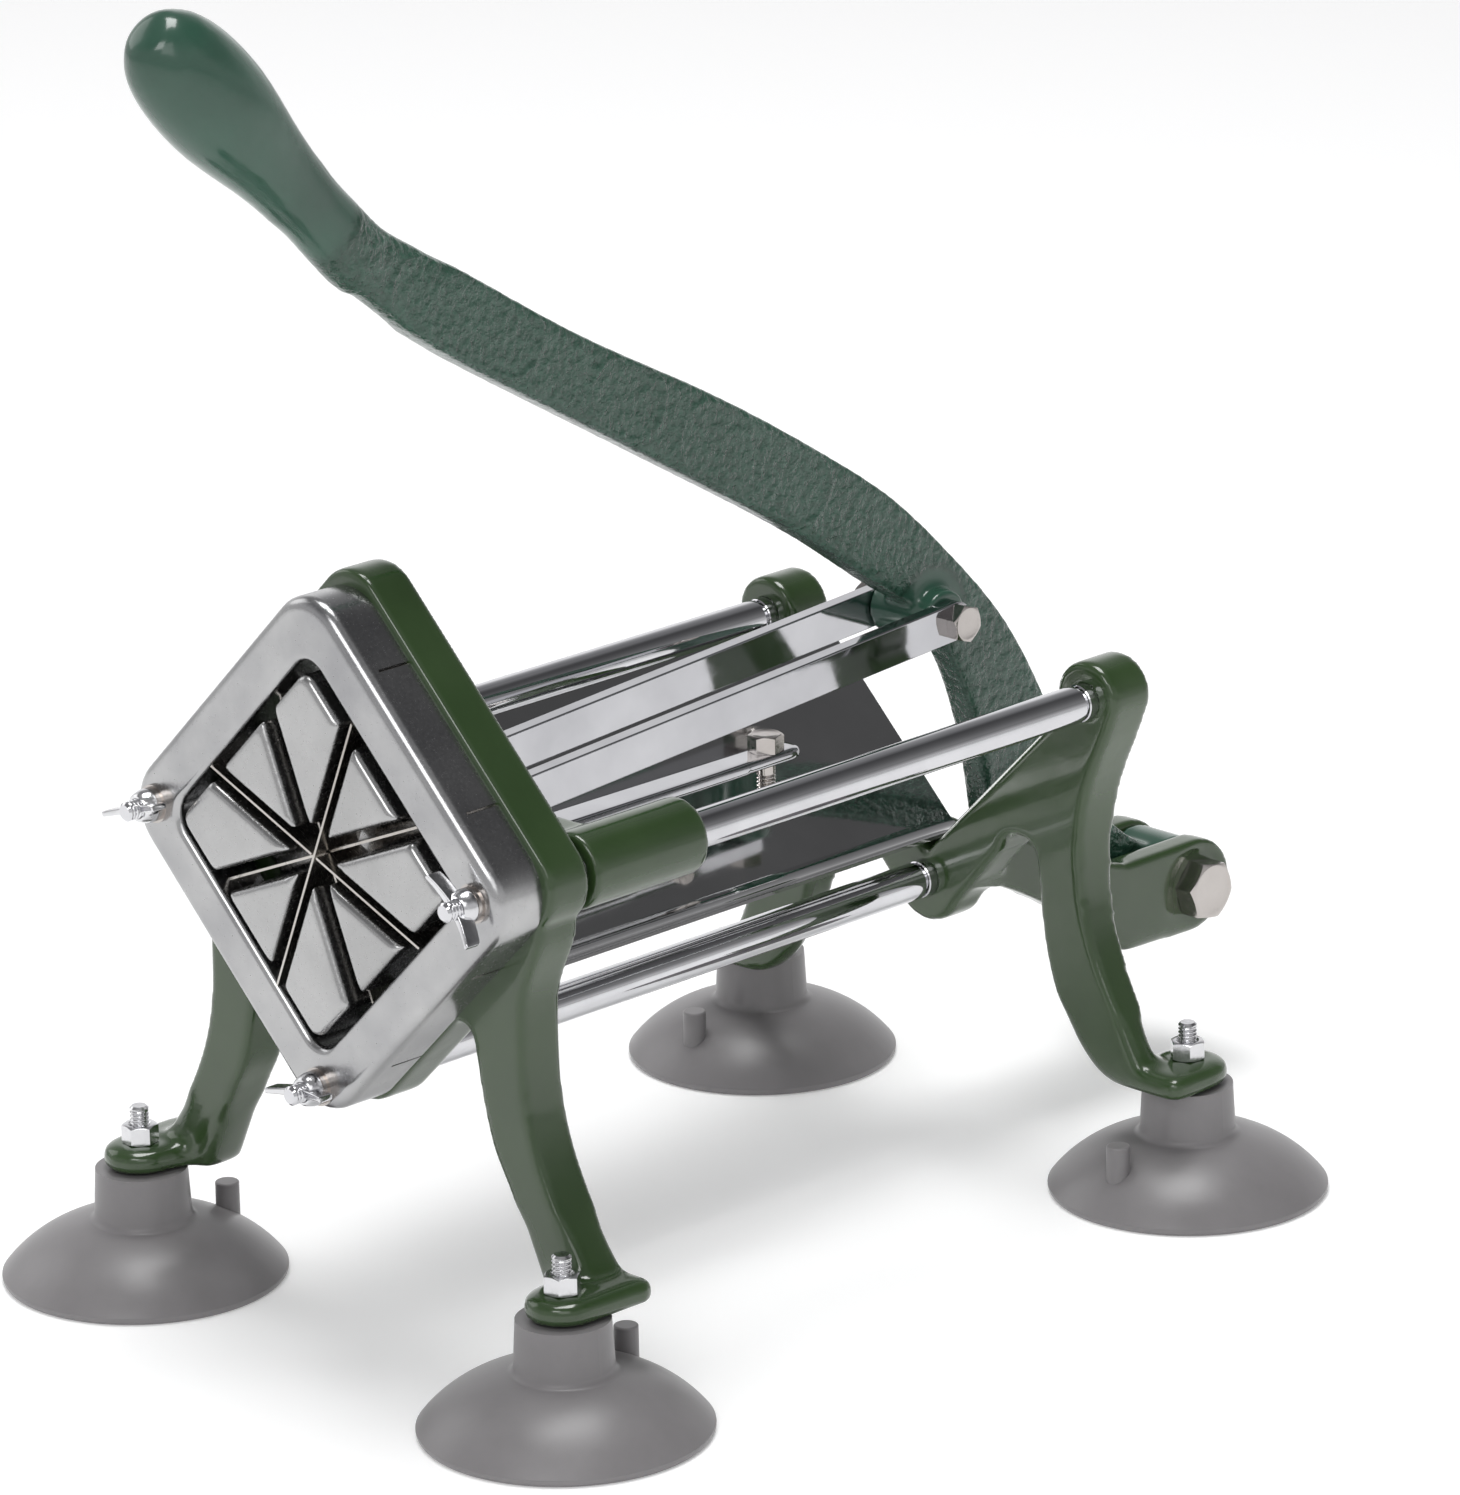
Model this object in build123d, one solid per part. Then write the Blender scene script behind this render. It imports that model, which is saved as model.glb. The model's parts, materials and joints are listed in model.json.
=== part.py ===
"""French fry cutter: a lever drives a ram along three rods and pushes a potato through crossed blades.

Every function draws its piece in the axis frame: X to the right, Y rearward from the front frame's
front face, Z up from the cutting axis. place() then moves it to the part's frame, whose origin is
on the table under the middle of the machine.
"""
import os
from math import asin, cos, degrees, hypot, radians, sin, sqrt

from build123d import *

# ---------------------------------------------------------------- driving dimensions (mm)
# stance
axis_height = 161.2
front_face = -146.8
frame_spacing = 244.0
pad_top = 43.7
pad_thickness = 8.0
front_stud_x = 94.1
front_stud_y = -9.5
rear_stud_x = 95.1
rear_stud_y = 20.0

# blade holder and blades
opening = 90.0
opening_corner = 8.0
cut_axis_z = -1.5
holder_side = 123.0
holder_corner = 17.0
holder_depth = 18.0
holder_front_round = 4.0
holder_inner_round = 2.5
blade_count = 4
blade_thickness = 0.8
blade_levels = (2, 0, 3, 1)
front_blade_depth = 17.4
rear_blade_depth = 12.0
blade_end_clearance = 0.1
blade_slot_clearance = 0.05
blade_end_inset = 0.9
lap_clearance = 0.15

# frames
frame_thickness = 16.5
ring_side = 126.0
ring_corner = 14.0
ring_opening = 92.5
frame_edge_round = 1.2
pad_rim_round = 1.5
pad_corner_round = 5.0
leg_root_round = 5.0
rear_top_thickness = 17.5
rear_foot_thickness = 11.0
nose_radius = 14.5
rear_boss_radius = 12.5

# rods and their fasteners
rod_diameter = 12.0
side_rod_x = 70.2
bottom_rod_z = -73.8
rod_groove_depth = 1.3
rod_groove_width = 1.4
rod_collar_length = 3.6
rod_tail_diameter = 10.0
rod_tail_length = 14.0
stud_diameter = 6.0
stud_reach = 12.6
washer_diameter = 12.0
washer_thickness = 1.2
spring_washer_diameter = 10.6
spring_washer_thickness = 1.8
spring_washer_gap = 1.2
wing_collar_diameter = 11.0
wing_collar_height = 6.2
wing_span = 25.0
wing_thickness = 2.4
wing_rise = 9.5

# ram, head and their fasteners
sleeve_diameter = 24.0
sleeve_length = 47.0
sleeve_start = 20.0
head_clearance = 3.75
head_face_ahead = 1.65
head_groove = 7.0
head_edge_round = 2.0
head_plate_front = 3.0
head_plate_thickness = 8.0
ram_plate_side = 70.0
ram_plate_thickness = 8.0
ram_plate_corner = 10.0
ram_web_height = 22.0
lug_radius = 8.0
tongue_end = 185.0
tongue_top = -14.0
tongue_thickness = 4.0
tongue_width = 16.0
tongue_tip_width = 12.0
tongue_corner = 5.0
head_screw_offset = 20.0
head_screw_diameter = 5.0
screw_cap_round = 0.6
head_thread_wall = 1.75
stop_bolt_y = 173.0
stop_bolt_diameter = 6.0
stop_bolt_flats = 10.0
stop_bolt_head = 5.5
stop_bolt_below = 14.0

# guide plate
plate_thickness = 1.0
plate_top_x = 62.0
plate_relief = 1.0

# lever and linkage
pivot_reach = 109.0
pivot_z = -100.0
lever_link_ahead = 111.0
lever_link_rise = 116.0
ram_link_y = 44.0
ram_link_z = 2.9
lever_thickness = 12.6
lever_edge_round = 1.8
lever_hub_end = 6.0
lever_hub_half = 12.6
hub_width = 19.0
hub_radius = 14.8
grip_ahead = 400.0
grip_rise = 334.0
grip_slope = 46.4
grip_end_round = 3.5
link_thickness = 5.0
link_height = 12.4
link_inner_x = 13.0
link_side_gap = 0.3
link_boss_radius = 9.0
link_pin_diameter = 6.0
link_hex_flats = 11.0
link_head_height = 4.5
link_nut_height = 5.0
link_bolt_tail = 1.0
pivot_diameter = 12.0
pivot_hex_flats = 18.0
pivot_head_height = 7.5
pivot_nut_height = 10.0
pivot_bolt_tail = 3.0
ear_inner_x = 10.0
ear_outer_x = 20.0
ear_radius = 16.0
ear_recess_diameter = 28.0
ear_recess_depth = 1.0
left_ear_rise = 10.0

# suction feet
cup_diameter = 89.0
cup_height = 19.2
cup_lip = 2.4
cup_wall = 3.6
cup_shoulder = (23.5, 17.2)
cup_flank = (31.5, 13.6)
neck_diameter = 30.0
neck_flare = 0.9
neck_root_round = 2.5
foot_stud_diameter = 6.0
foot_stud_above_pad = 12.0
foot_stud_embedded = 16.0
foot_nut_flats = 10.0
foot_nut_height = 6.0
tab_diameter = 7.6
tab_top = 22.7
tab_height = 16.0
tab_ring_radius = 32.0
tab_end_round = 0.6

# fits
running_fit = 0.06
bolt_clearance = 0.2

# shared by the hex heads and nuts
hex_corner_reach = 0.56
hex_chamfer = 0.8

# ---------------------------------------------------------------- derived sizes
floor = -axis_height
pad_top_z = floor + pad_top
pad_bottom_z = pad_top_z - pad_thickness
rear_face = frame_spacing
pivot_y = rear_face + pivot_reach
lever_link_y = pivot_y - lever_link_ahead
lever_link_z = pivot_z + lever_link_rise
sleeve_bore = rod_diameter + 2 * running_fit
head_side = opening - 2 * head_clearance
head_corner = opening_corner - head_clearance
head_front = -holder_depth - head_face_ahead
head_plate_back = head_plate_front + head_plate_thickness
web_back = sleeve_start + ram_plate_thickness + 4.0
plate_inner = opening / sqrt(2)
notch_reach = plate_inner + plate_thickness * sqrt(2)
lug_half_width = link_inner_x - link_side_gap
link_length = hypot(lever_link_y - ram_link_y, lever_link_z - ram_link_z)
link_slope = asin((lever_link_z - ram_link_z) / link_length)
rod_places = {
    "left": (-side_rod_x, 0.0),
    "right": (side_rod_x, 0.0),
    "bottom": (0.0, bottom_rod_z),
}
head_screw_places = [
    (side_x * head_screw_offset, cut_axis_z + side_z * head_screw_offset)
    for side_x in (-1, 1)
    for side_z in (-1, 1)
]
foot_places = {
    "fl": (-front_stud_x, front_stud_y, 84.0),
    "fr": (front_stud_x, front_stud_y, 101.0),
    "rl": (-rear_stud_x, rear_face + rear_stud_y, -89.0),
    "rr": (rear_stud_x, rear_face + rear_stud_y, -91.0),
}
nodes = {}


# ---------------------------------------------------------------- drawing helpers
def wall(y):
    """Plane facing forward at depth y, drawn with X to the right and Z up."""
    return Plane((0, y, 0), x_dir=(1, 0, 0), z_dir=(0, -1, 0))


def slab(sketch, y_front, depth):
    """Front-view sketch carried rearward from y_front by depth."""
    return extrude(wall(y_front) * sketch, amount=depth, dir=(0, 1, 0))


def side_slab(sketch, width, x_mid=0.0):
    """Side-view sketch (Y across, Z up) made width thick about x_mid."""
    return extrude(Plane.YZ.offset(x_mid - width / 2) * sketch, amount=width)


def rod_along_y(radius, y_front, length, x, z):
    """Round bar along Y."""
    return slab(Pos(x, z) * Circle(radius), y_front, length)


def rod_along_x(radius, x_start, length, y, z):
    """Round bar along +X from x_start."""
    return extrude(Plane.YZ.offset(x_start) * (Pos(y, z) * Circle(radius)), amount=length)


def diamond(side, corner):
    """Square standing on one corner, its corners rounded."""
    return Rot(0, 0, 45) * RectangleRounded(side, side, corner)


def outline(*edges):
    """Closed face from edges that meet end to end."""
    return make_face(Wire(list(edges)))


def both_sides(shape):
    """The shape with its mirror image across X = 0."""
    return shape + mirror(shape, about=Plane.YZ)


def hexagon(flats):
    return RegularPolygon(flats / 2, 6, major_radius=False)


def place(shape):
    """From the axis frame to the part's frame."""
    return Pos(0, front_face, axis_height) * shape


def keep(name, shape):
    nodes[name] = place(shape)


# ---------------------------------------------------------------- frames
def leg_face(inner, outer):
    """One leg seen from the front, between an inner and an outer curve that run down to the pad."""
    inner_curve = Spline(*inner)
    outer_curve = Spline(*outer)
    top = Line(inner[0], outer[0])
    foot = Line(inner[-1], outer[-1])
    return outline(top, outer_curve, foot, inner_curve)


def foot_pad(stud_x, stud_y, corners, radius, corner_round):
    """Flat pad under one leg: a rounded end about the stud, straight sides to the corners, a soft rim."""
    plan = Pos(stud_x, stud_y) * Circle(radius) + make_face(Polyline(*corners, close=True))
    plan = fillet(plan.vertices().sort_by(Axis.X)[-1], corner_round)
    pad = extrude(Plane.XY.offset(pad_bottom_z) * plan, amount=pad_thickness)
    return fillet(pad.faces().sort_by(Axis.Z)[-1].edges(), pad_rim_round)


def stud_hole(stud_x, stud_y):
    radius = foot_stud_diameter / 2 + bolt_clearance
    return Pos(stud_x, stud_y, pad_bottom_z + pad_thickness / 2) * Cylinder(radius, 3 * pad_thickness)


def front_frame():
    ring = diamond(ring_side, ring_corner)
    inner = [
        (40, -40),
        (47, -50.5),
        (49.7, -63.5),
        (52.4, -76),
        (55.7, -86),
        (60.7, -95),
        (66.5, -106.7),
        (75, pad_bottom_z),
    ]
    outer = [
        (76, -5),
        (78, -12),
        (70.5, -33),
        (68.9, -47),
        (69.3, -61),
        (71.5, -75),
        (76.5, -89),
        (84.3, -103),
        (92.8, -114.8),
        (100.5, pad_bottom_z),
    ]
    face = ring + both_sides(leg_face(inner, outer))
    roots = [v for v in face.vertices() if -ring_side / 2 < v.Y < -ring_corner]
    face = fillet(roots, leg_root_round)
    body = slab(face, 0, frame_thickness)
    body -= slab(diamond(ring_opening, opening_corner), -1, frame_thickness + 2)
    edges = body.edges().group_by(Axis.Y)[0] + body.edges().group_by(Axis.Y)[-1]
    body = fillet(edges, frame_edge_round)
    corners = [
        (front_stud_x - 11.5, front_stud_y),
        (front_stud_x + 11.8, front_stud_y - 1),
        (front_stud_x + 13, frame_thickness + 3.5),
        (front_stud_x, frame_thickness + 0.5),
        (80, frame_thickness - 1),
        (80, 1),
    ]
    pad = foot_pad(front_stud_x, front_stud_y, corners, 12, pad_corner_round)
    body += both_sides(pad)
    for x, z in rod_places.values():
        body -= rod_along_y(stud_diameter / 2 + bolt_clearance, -1, frame_thickness + 2, x, z)
    for side in (-1, 1):
        body -= stud_hole(side * front_stud_x, front_stud_y)
    return body


def rear_frame():
    notch_end = (59.2, 59.2 - notch_reach)
    boss_top = (side_rod_x, rear_boss_radius)
    nose_side = (13.2, bottom_rod_z - 6)
    arch_start = (33, -57.5)
    leg_inner = [
        arch_start,
        (40, -51),
        (46.2, -53),
        (49, -62),
        (50.2, -75),
        (53.4, -91.6),
        (60, -107.7),
        (69, -119.7),
        (79, pad_bottom_z),
    ]
    leg_outer = [(96, pad_bottom_z), (81, -98), (71.6, -79), (67.3, -58), (69.8, -32), (78.5, -11)]
    boss_out = (side_rod_x + rear_boss_radius, 0)
    half = outline(
        Line((0, -notch_reach), notch_end),
        ThreePointArc(notch_end, (61.4, 8.9), boss_top),
        ThreePointArc(boss_top, (79.1, 8.8), boss_out),
        Spline(boss_out, *reversed(leg_outer)),
        Line(leg_outer[0], leg_inner[-1]),
        Spline(*leg_inner),
        Line(arch_start, nose_side),
        ThreePointArc(nose_side, (8, bottom_rod_z - 12.2), (0, bottom_rod_z - nose_radius)),
        Line((0, bottom_rod_z - nose_radius), (0, -notch_reach)),
    )
    body = slab(both_sides(half), rear_face, rear_top_thickness)
    side = Polyline(
        (rear_face - 1, 20),
        (rear_face + rear_top_thickness + 1, 20),
        (rear_face + rear_top_thickness + 1, -35),
        (rear_face + rear_top_thickness, -35),
        (rear_face + rear_foot_thickness, pad_top_z),
        (rear_face + rear_foot_thickness, pad_bottom_z - 1),
        (rear_face - 1, pad_bottom_z - 1),
        close=True,
    )
    body &= side_slab(make_face(side), 4 * side_rod_x)
    body = fillet(body.edges().group_by(Axis.Y)[0], frame_edge_round)
    corners = [
        (84, rear_face),
        (rear_stud_x + 13, rear_face),
        (rear_stud_x + 13, rear_face + rear_stud_y),
        (rear_stud_x - 13, rear_face + rear_stud_y),
        (84, rear_face + rear_foot_thickness),
    ]
    pad = foot_pad(rear_stud_x, rear_face + rear_stud_y, corners, 13, pad_corner_round / 2)
    body += both_sides(pad)
    body += ear_plate(0.0) + mirror(ear_plate(left_ear_rise), about=Plane.YZ)
    for x, z in rod_places.values():
        body -= rod_along_y(rod_tail_diameter / 2, rear_face - 1, rod_tail_length + 1, x, z)
    for side in (-1, 1):
        body -= stud_hole(side * rear_stud_x, rear_face + rear_stud_y)
    return body - guide_plate()


def ear_plate(rise):
    """Right ear of the clevis that carries the lever's pivot bolt; rise lifts its lower edge."""
    top_z = pivot_z + ear_radius
    rear_y = rear_face + rear_top_thickness
    top_start = (pivot_y - 33, top_z)
    under = (pivot_y - 34, pivot_z - ear_radius + 1 + rise)
    face = outline(
        Line((rear_face + 4, -58), (rear_y + 8, -62)),
        Spline((rear_y + 8, -62), (rear_y + 33, -75), top_start),
        Line(top_start, (pivot_y, top_z)),
        ThreePointArc((pivot_y, top_z), (pivot_y + ear_radius, pivot_z), (pivot_y, pivot_z - ear_radius)),
        Line((pivot_y, pivot_z - ear_radius), under),
        Spline(under, (rear_y + 36, -99 + rise / 2), (rear_y + 14, -84.8), (rear_y - 1, -77)),
        Line((rear_y - 1, -77), (rear_face + 4, -74)),
        Line((rear_face + 4, -74), (rear_face + 4, -58)),
    )
    width = ear_outer_x - ear_inner_x
    ear = side_slab(face, width, (ear_inner_x + ear_outer_x) / 2)
    recess = ear_outer_x - ear_recess_depth
    ear -= rod_along_x(ear_recess_diameter / 2, recess, 10, pivot_y, pivot_z)
    ear -= rod_along_x(pivot_diameter / 2 + bolt_clearance, 0, 2 * ear_outer_x, pivot_y, pivot_z)
    return ear


def guide_rod(x, z):
    """Ground rod: threaded stud at the front, locating collar and tail in the rear boss."""
    length = rear_face - frame_thickness
    bar = rod_along_y(rod_diameter / 2, frame_thickness, length, x, z)
    groove_y = rear_face - rod_collar_length - rod_groove_width
    groove = rod_along_y(rod_diameter / 2 + 1, groove_y, rod_groove_width, x, z)
    groove -= rod_along_y(rod_diameter / 2 - rod_groove_depth, groove_y, rod_groove_width, x, z)
    bar -= groove
    bar += rod_along_y(rod_tail_diameter / 2, rear_face, rod_tail_length, x, z)
    stud_length = frame_thickness + holder_depth + stud_reach
    stud = rod_along_y(stud_diameter / 2, -holder_depth - stud_reach, stud_length, x, z)
    tip = stud.faces().sort_by(Axis.Y)[0].edges()
    stud = chamfer(tip, 0.8)
    return bar + stud


def guide_plate():
    """Bent plate on the left of the feed space, tangent to the lower corner of the opening."""
    top = (-plate_top_x, plate_top_x - plate_inner)
    corner_z = -(plate_inner - opening_corner * sqrt(2))
    tangent = (-opening_corner / sqrt(2), corner_z - opening_corner / sqrt(2))
    lip_angle = radians(-62)
    lip_end = (opening_corner * cos(lip_angle), corner_z + opening_corner * sin(lip_angle))
    lip_mid = (opening_corner * cos(radians(-100)), corner_z + opening_corner * sin(radians(-100)))
    outer_radius = opening_corner + plate_thickness
    shift = plate_thickness / sqrt(2)
    outer_top = (top[0] - shift, top[1] - shift)
    outer_tangent = (-outer_radius / sqrt(2), corner_z - outer_radius / sqrt(2))
    outer_mid = (outer_radius * cos(radians(-100)), corner_z + outer_radius * sin(radians(-100)))
    outer_end = (outer_radius * cos(lip_angle), corner_z + outer_radius * sin(lip_angle))
    face = outline(
        Line(top, tangent),
        ThreePointArc(tangent, lip_mid, lip_end),
        Line(lip_end, outer_end),
        ThreePointArc(outer_end, outer_mid, outer_tangent),
        Line(outer_tangent, outer_top),
        Line(outer_top, top),
    )
    length = rear_face + rear_top_thickness - frame_thickness
    return slab(face, frame_thickness, length)


# ---------------------------------------------------------------- cutting head
def blade_angles():
    step = 180 / blade_count
    return [step / 2 + step * i for i in range(blade_count)]


def blade_holder():
    body = slab(diamond(holder_side, holder_corner), -holder_depth, holder_depth)
    body = fillet(body.faces().sort_by(Axis.Y)[0].edges(), holder_front_round)
    body -= slab(diamond(opening, opening_corner), -holder_depth - 1, holder_depth + 2)
    inner = body.faces().sort_by(Axis.Y)[0].inner_wires()[0].edges()
    body = fillet(inner, holder_inner_round)
    slot = blade_thickness + 2 * blade_slot_clearance
    for angle in blade_angles():
        cut = Rot(0, 0, angle) * Rectangle(2 * holder_side, slot)
        body -= slab(cut, -rear_blade_depth - blade_slot_clearance, rear_blade_depth + 1)
    body = Pos(0, 0, cut_axis_z) * body
    for x, z in rod_places.values():
        body -= rod_along_y(stud_diameter / 2 + bolt_clearance, -holder_depth - 1, holder_depth + 2, x, z)
    return body


def blade(index):
    """One blade; at the axis only its own quarter of the depth is left.

    The two blades with the front levels are deeper between their end tabs than the other two.
    """
    angle = blade_angles()[index]
    own = blade_levels[index]
    strip = Rot(0, 0, angle) * Rectangle(2 * holder_side, blade_thickness)
    limit = diamond(holder_side - 2 * blade_end_inset, holder_corner)
    edge = diamond(opening - 2 * blade_end_clearance, opening_corner)
    body = slab(strip & limit, -rear_blade_depth, rear_blade_depth)
    if own < blade_count / 2:
        body += slab(strip & edge, -front_blade_depth, front_blade_depth - rear_blade_depth)
    lap = 180 / blade_count
    half_notch = blade_thickness / 2 * (1 / sin(radians(lap)) + 1 / sin(radians(lap)) * cos(radians(lap)))
    notch = Rot(0, 0, angle) * Rectangle(2 * (half_notch + lap_clearance), 3 * blade_thickness)
    step = front_blade_depth / blade_count
    for level in range(blade_count):
        if level == own:
            continue
        lower = lap_clearance if level == own + 1 else 0
        upper = lap_clearance if level == own - 1 else 0
        start = -front_blade_depth + level * step - lower
        body -= slab(notch, start, step + lower + upper)
    return Pos(0, 0, cut_axis_z) * body


def ring_washer(outer, inner, thickness, y_front, x, z):
    return rod_along_y(outer / 2, y_front, thickness, x, z) - rod_along_y(
        inner / 2, y_front - 1, thickness + 2, x, z
    )


def stud_washers():
    y = -holder_depth - washer_thickness
    bore = stud_diameter + 2 * bolt_clearance
    rings = [ring_washer(washer_diameter, bore, washer_thickness, y, x, z) for x, z in rod_places.values()]
    return Compound(children=rings)


def spring_washers():
    y = -holder_depth - washer_thickness - spring_washer_thickness
    bore = stud_diameter + 2 * bolt_clearance
    rings = []
    for x, z in rod_places.values():
        ring = ring_washer(spring_washer_diameter, bore, spring_washer_thickness, y, x, z)
        gap = Pos(x, z) * Rot(0, 0, 115) * Pos(spring_washer_diameter / 2, 0)
        cut = gap * Rectangle(spring_washer_diameter / 2, spring_washer_gap)
        rings.append(ring - slab(cut, y - 1, spring_washer_thickness + 2))
    return Compound(children=rings)


def wing_nut(x, z, turn):
    """Wing nut on the stud at (x, z), its wings turned by the given angle."""
    back = -holder_depth - washer_thickness - spring_washer_thickness
    radius = wing_collar_diameter / 2
    collar = rod_along_y(radius, back - wing_collar_height, wing_collar_height, 0, 0)
    collar = chamfer(collar.faces().sort_by(Axis.Y)[0].edges(), 1.5)
    rim = wing_span / 2
    tip = back - wing_rise
    profile = outline(
        Line((1.5, back - 1.2), (radius, back - 1.2)),
        Spline((radius, back - 1.2), (rim - 3.2, back - 3.4), (rim, tip + 4)),
        ThreePointArc((rim, tip + 4), (rim - 1.4, tip + 0.4), (rim - 4.2, tip + 1.6)),
        Spline((rim - 4.2, tip + 1.6), (radius + 0.6, back - 5.2), (1.5, back - 5.6)),
        Line((1.5, back - 5.6), (1.5, back - 1.2)),
    )
    wing = extrude(Plane.XY.offset(-wing_thickness / 2) * profile, amount=wing_thickness)
    wing = fillet(wing.edges().filter_by(GeomType.BSPLINE), 0.7)
    nut = collar + wing + Rot(0, 180, 0) * wing
    nut -= rod_along_y(stud_diameter / 2 + running_fit, back - 20, 30, 0, 0)
    return Pos(x, 0, z) * Rot(0, turn, 0) * nut


# ---------------------------------------------------------------- ram
def pusher_head():
    face = diamond(head_side, head_corner)
    segments = face
    for angle in blade_angles():
        segments -= Rot(0, 0, angle) * Rectangle(2 * head_side, head_groove)
    blocks = slab(segments, head_front, head_plate_front - head_front)
    blocks = fillet(blocks.faces().filter_by(Axis.Y).group_by(Axis.Y)[0].edges(), head_edge_round)
    plate = slab(face, head_plate_front, head_plate_thickness)
    body = Pos(0, 0, cut_axis_z) * (blocks + plate)
    thread_end = head_plate_front + head_thread_wall
    for x, z in head_screw_places:
        body -= rod_along_y(head_screw_diameter / 2, thread_end, head_plate_thickness, x, z)
    return body


def head_screws():
    screws = []
    shank_start = head_plate_front + head_thread_wall
    head_y = head_plate_back + ram_plate_thickness
    for x, z in head_screw_places:
        screw = rod_along_y(head_screw_diameter / 2, shank_start, head_y - shank_start, x, z)
        cap = rod_along_y(head_screw_diameter * 0.85, head_y, head_screw_diameter, x, z)
        cap = fillet(cap.faces().sort_by(Axis.Y)[-1].edges(), screw_cap_round)
        socket = Pos(x, z) * hexagon(head_screw_diameter * 0.8)
        cap -= slab(socket, head_y + head_screw_diameter * 0.45, head_screw_diameter)
        screws.append(screw + cap)
    return Compound(children=screws)


def ram():
    plate_back = head_plate_back + ram_plate_thickness
    body = slab(diamond(ram_plate_side, ram_plate_corner), head_plate_back, ram_plate_thickness)
    body += slab(Rectangle(2 * side_rod_x, ram_web_height), plate_back - 1, web_back - plate_back + 1)
    for side in (-1, 1):
        sleeve = rod_along_y(sleeve_diameter / 2, sleeve_start, sleeve_length, side * side_rod_x, 0)
        body += fillet(sleeve.faces().sort_by(Axis.Y)[-1].edges(), 1.2)
    lug_top = (ram_link_y, ram_link_z + lug_radius)
    lug_bottom = (ram_link_y, ram_link_z - lug_radius)
    lug_root_top = (web_back - 1, ram_link_z + lug_radius)
    lug_root_bottom = (web_back - 1, ram_link_z - lug_radius - 2)
    lug = outline(
        Line(lug_root_bottom, lug_bottom),
        ThreePointArc(lug_bottom, (ram_link_y + lug_radius, ram_link_z), lug_top),
        Line(lug_top, lug_root_top),
        Line(lug_root_top, lug_root_bottom),
    )
    body += side_slab(lug, 2 * lug_half_width)
    body += tongue(plate_back)
    for side in (-1, 1):
        body -= rod_along_y(sleeve_bore / 2, 0, 2 * sleeve_length, side * side_rod_x, 0)
    body -= plate_slot()
    body -= rod_along_x(link_pin_diameter / 2 + bolt_clearance, -20, 40, ram_link_y, ram_link_z)
    radius = head_screw_diameter / 2 + bolt_clearance
    for x, z in head_screw_places:
        body -= rod_along_y(radius, head_plate_back - 1, ram_plate_thickness + 2, x, z)
    radius = stop_bolt_diameter / 2 + bolt_clearance
    body -= Pos(0, stop_bolt_y, tongue_top) * Cylinder(radius, 4 * tongue_thickness)
    return body


def tongue(start):
    """Long flat arm of the ram, tapering to a round-cornered end."""
    half = tongue_width / 2
    tip = tongue_tip_width / 2
    plan = make_face(
        Polyline((-half, start), (half, start), (tip, tongue_end), (-tip, tongue_end), close=True)
    )
    bar = extrude(Plane.XY.offset(tongue_top - tongue_thickness) * plan, amount=tongue_thickness)
    corners = bar.edges().filter_by(Axis.Z).group_by(Axis.Y)[-1]
    bar = fillet(corners, tongue_corner)
    rim = bar.faces().sort_by(Axis.Z)[-1].edges().sort_by(Axis.Y)[1:]
    return fillet(rim, 1.0)


def plate_slot():
    """Room in the left sleeve and web for the upper edge of the guide plate."""
    mid = plate_inner + plate_thickness / sqrt(2)
    width = plate_thickness + 2 * plate_relief
    length = 40.0
    reach = (plate_top_x + plate_relief) * sqrt(2) - mid / sqrt(2)
    centre = Pos(-mid / 2, -mid / 2) * Rot(0, 0, -45) * Pos(length / 2 - reach, 0)
    return slab(centre * Rectangle(length, width), head_plate_back - 1, 2 * sleeve_length)


def ram_pin():
    """Bush in the ram's lug, flush with the lug's cheeks."""
    radius = link_pin_diameter / 2 + bolt_clearance
    return rod_along_x(radius, -lug_half_width, 2 * lug_half_width, ram_link_y, ram_link_z)


def stop_bolt():
    """Hex bolt standing in the end of the tongue."""
    head = Plane.XY.offset(tongue_top) * (Pos(0, stop_bolt_y) * hexagon(stop_bolt_flats))
    body = extrude(head, amount=stop_bolt_head)
    cone = Cylinder(stop_bolt_flats * hex_corner_reach, stop_bolt_head)
    cone = chamfer(cone.faces().sort_by(Axis.Z)[-1].edges(), hex_chamfer)
    body &= Pos(0, stop_bolt_y, tongue_top + stop_bolt_head / 2) * cone
    shank = Cylinder(stop_bolt_diameter / 2, stop_bolt_below)
    return body + Pos(0, stop_bolt_y, tongue_top - stop_bolt_below / 2) * shank


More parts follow.
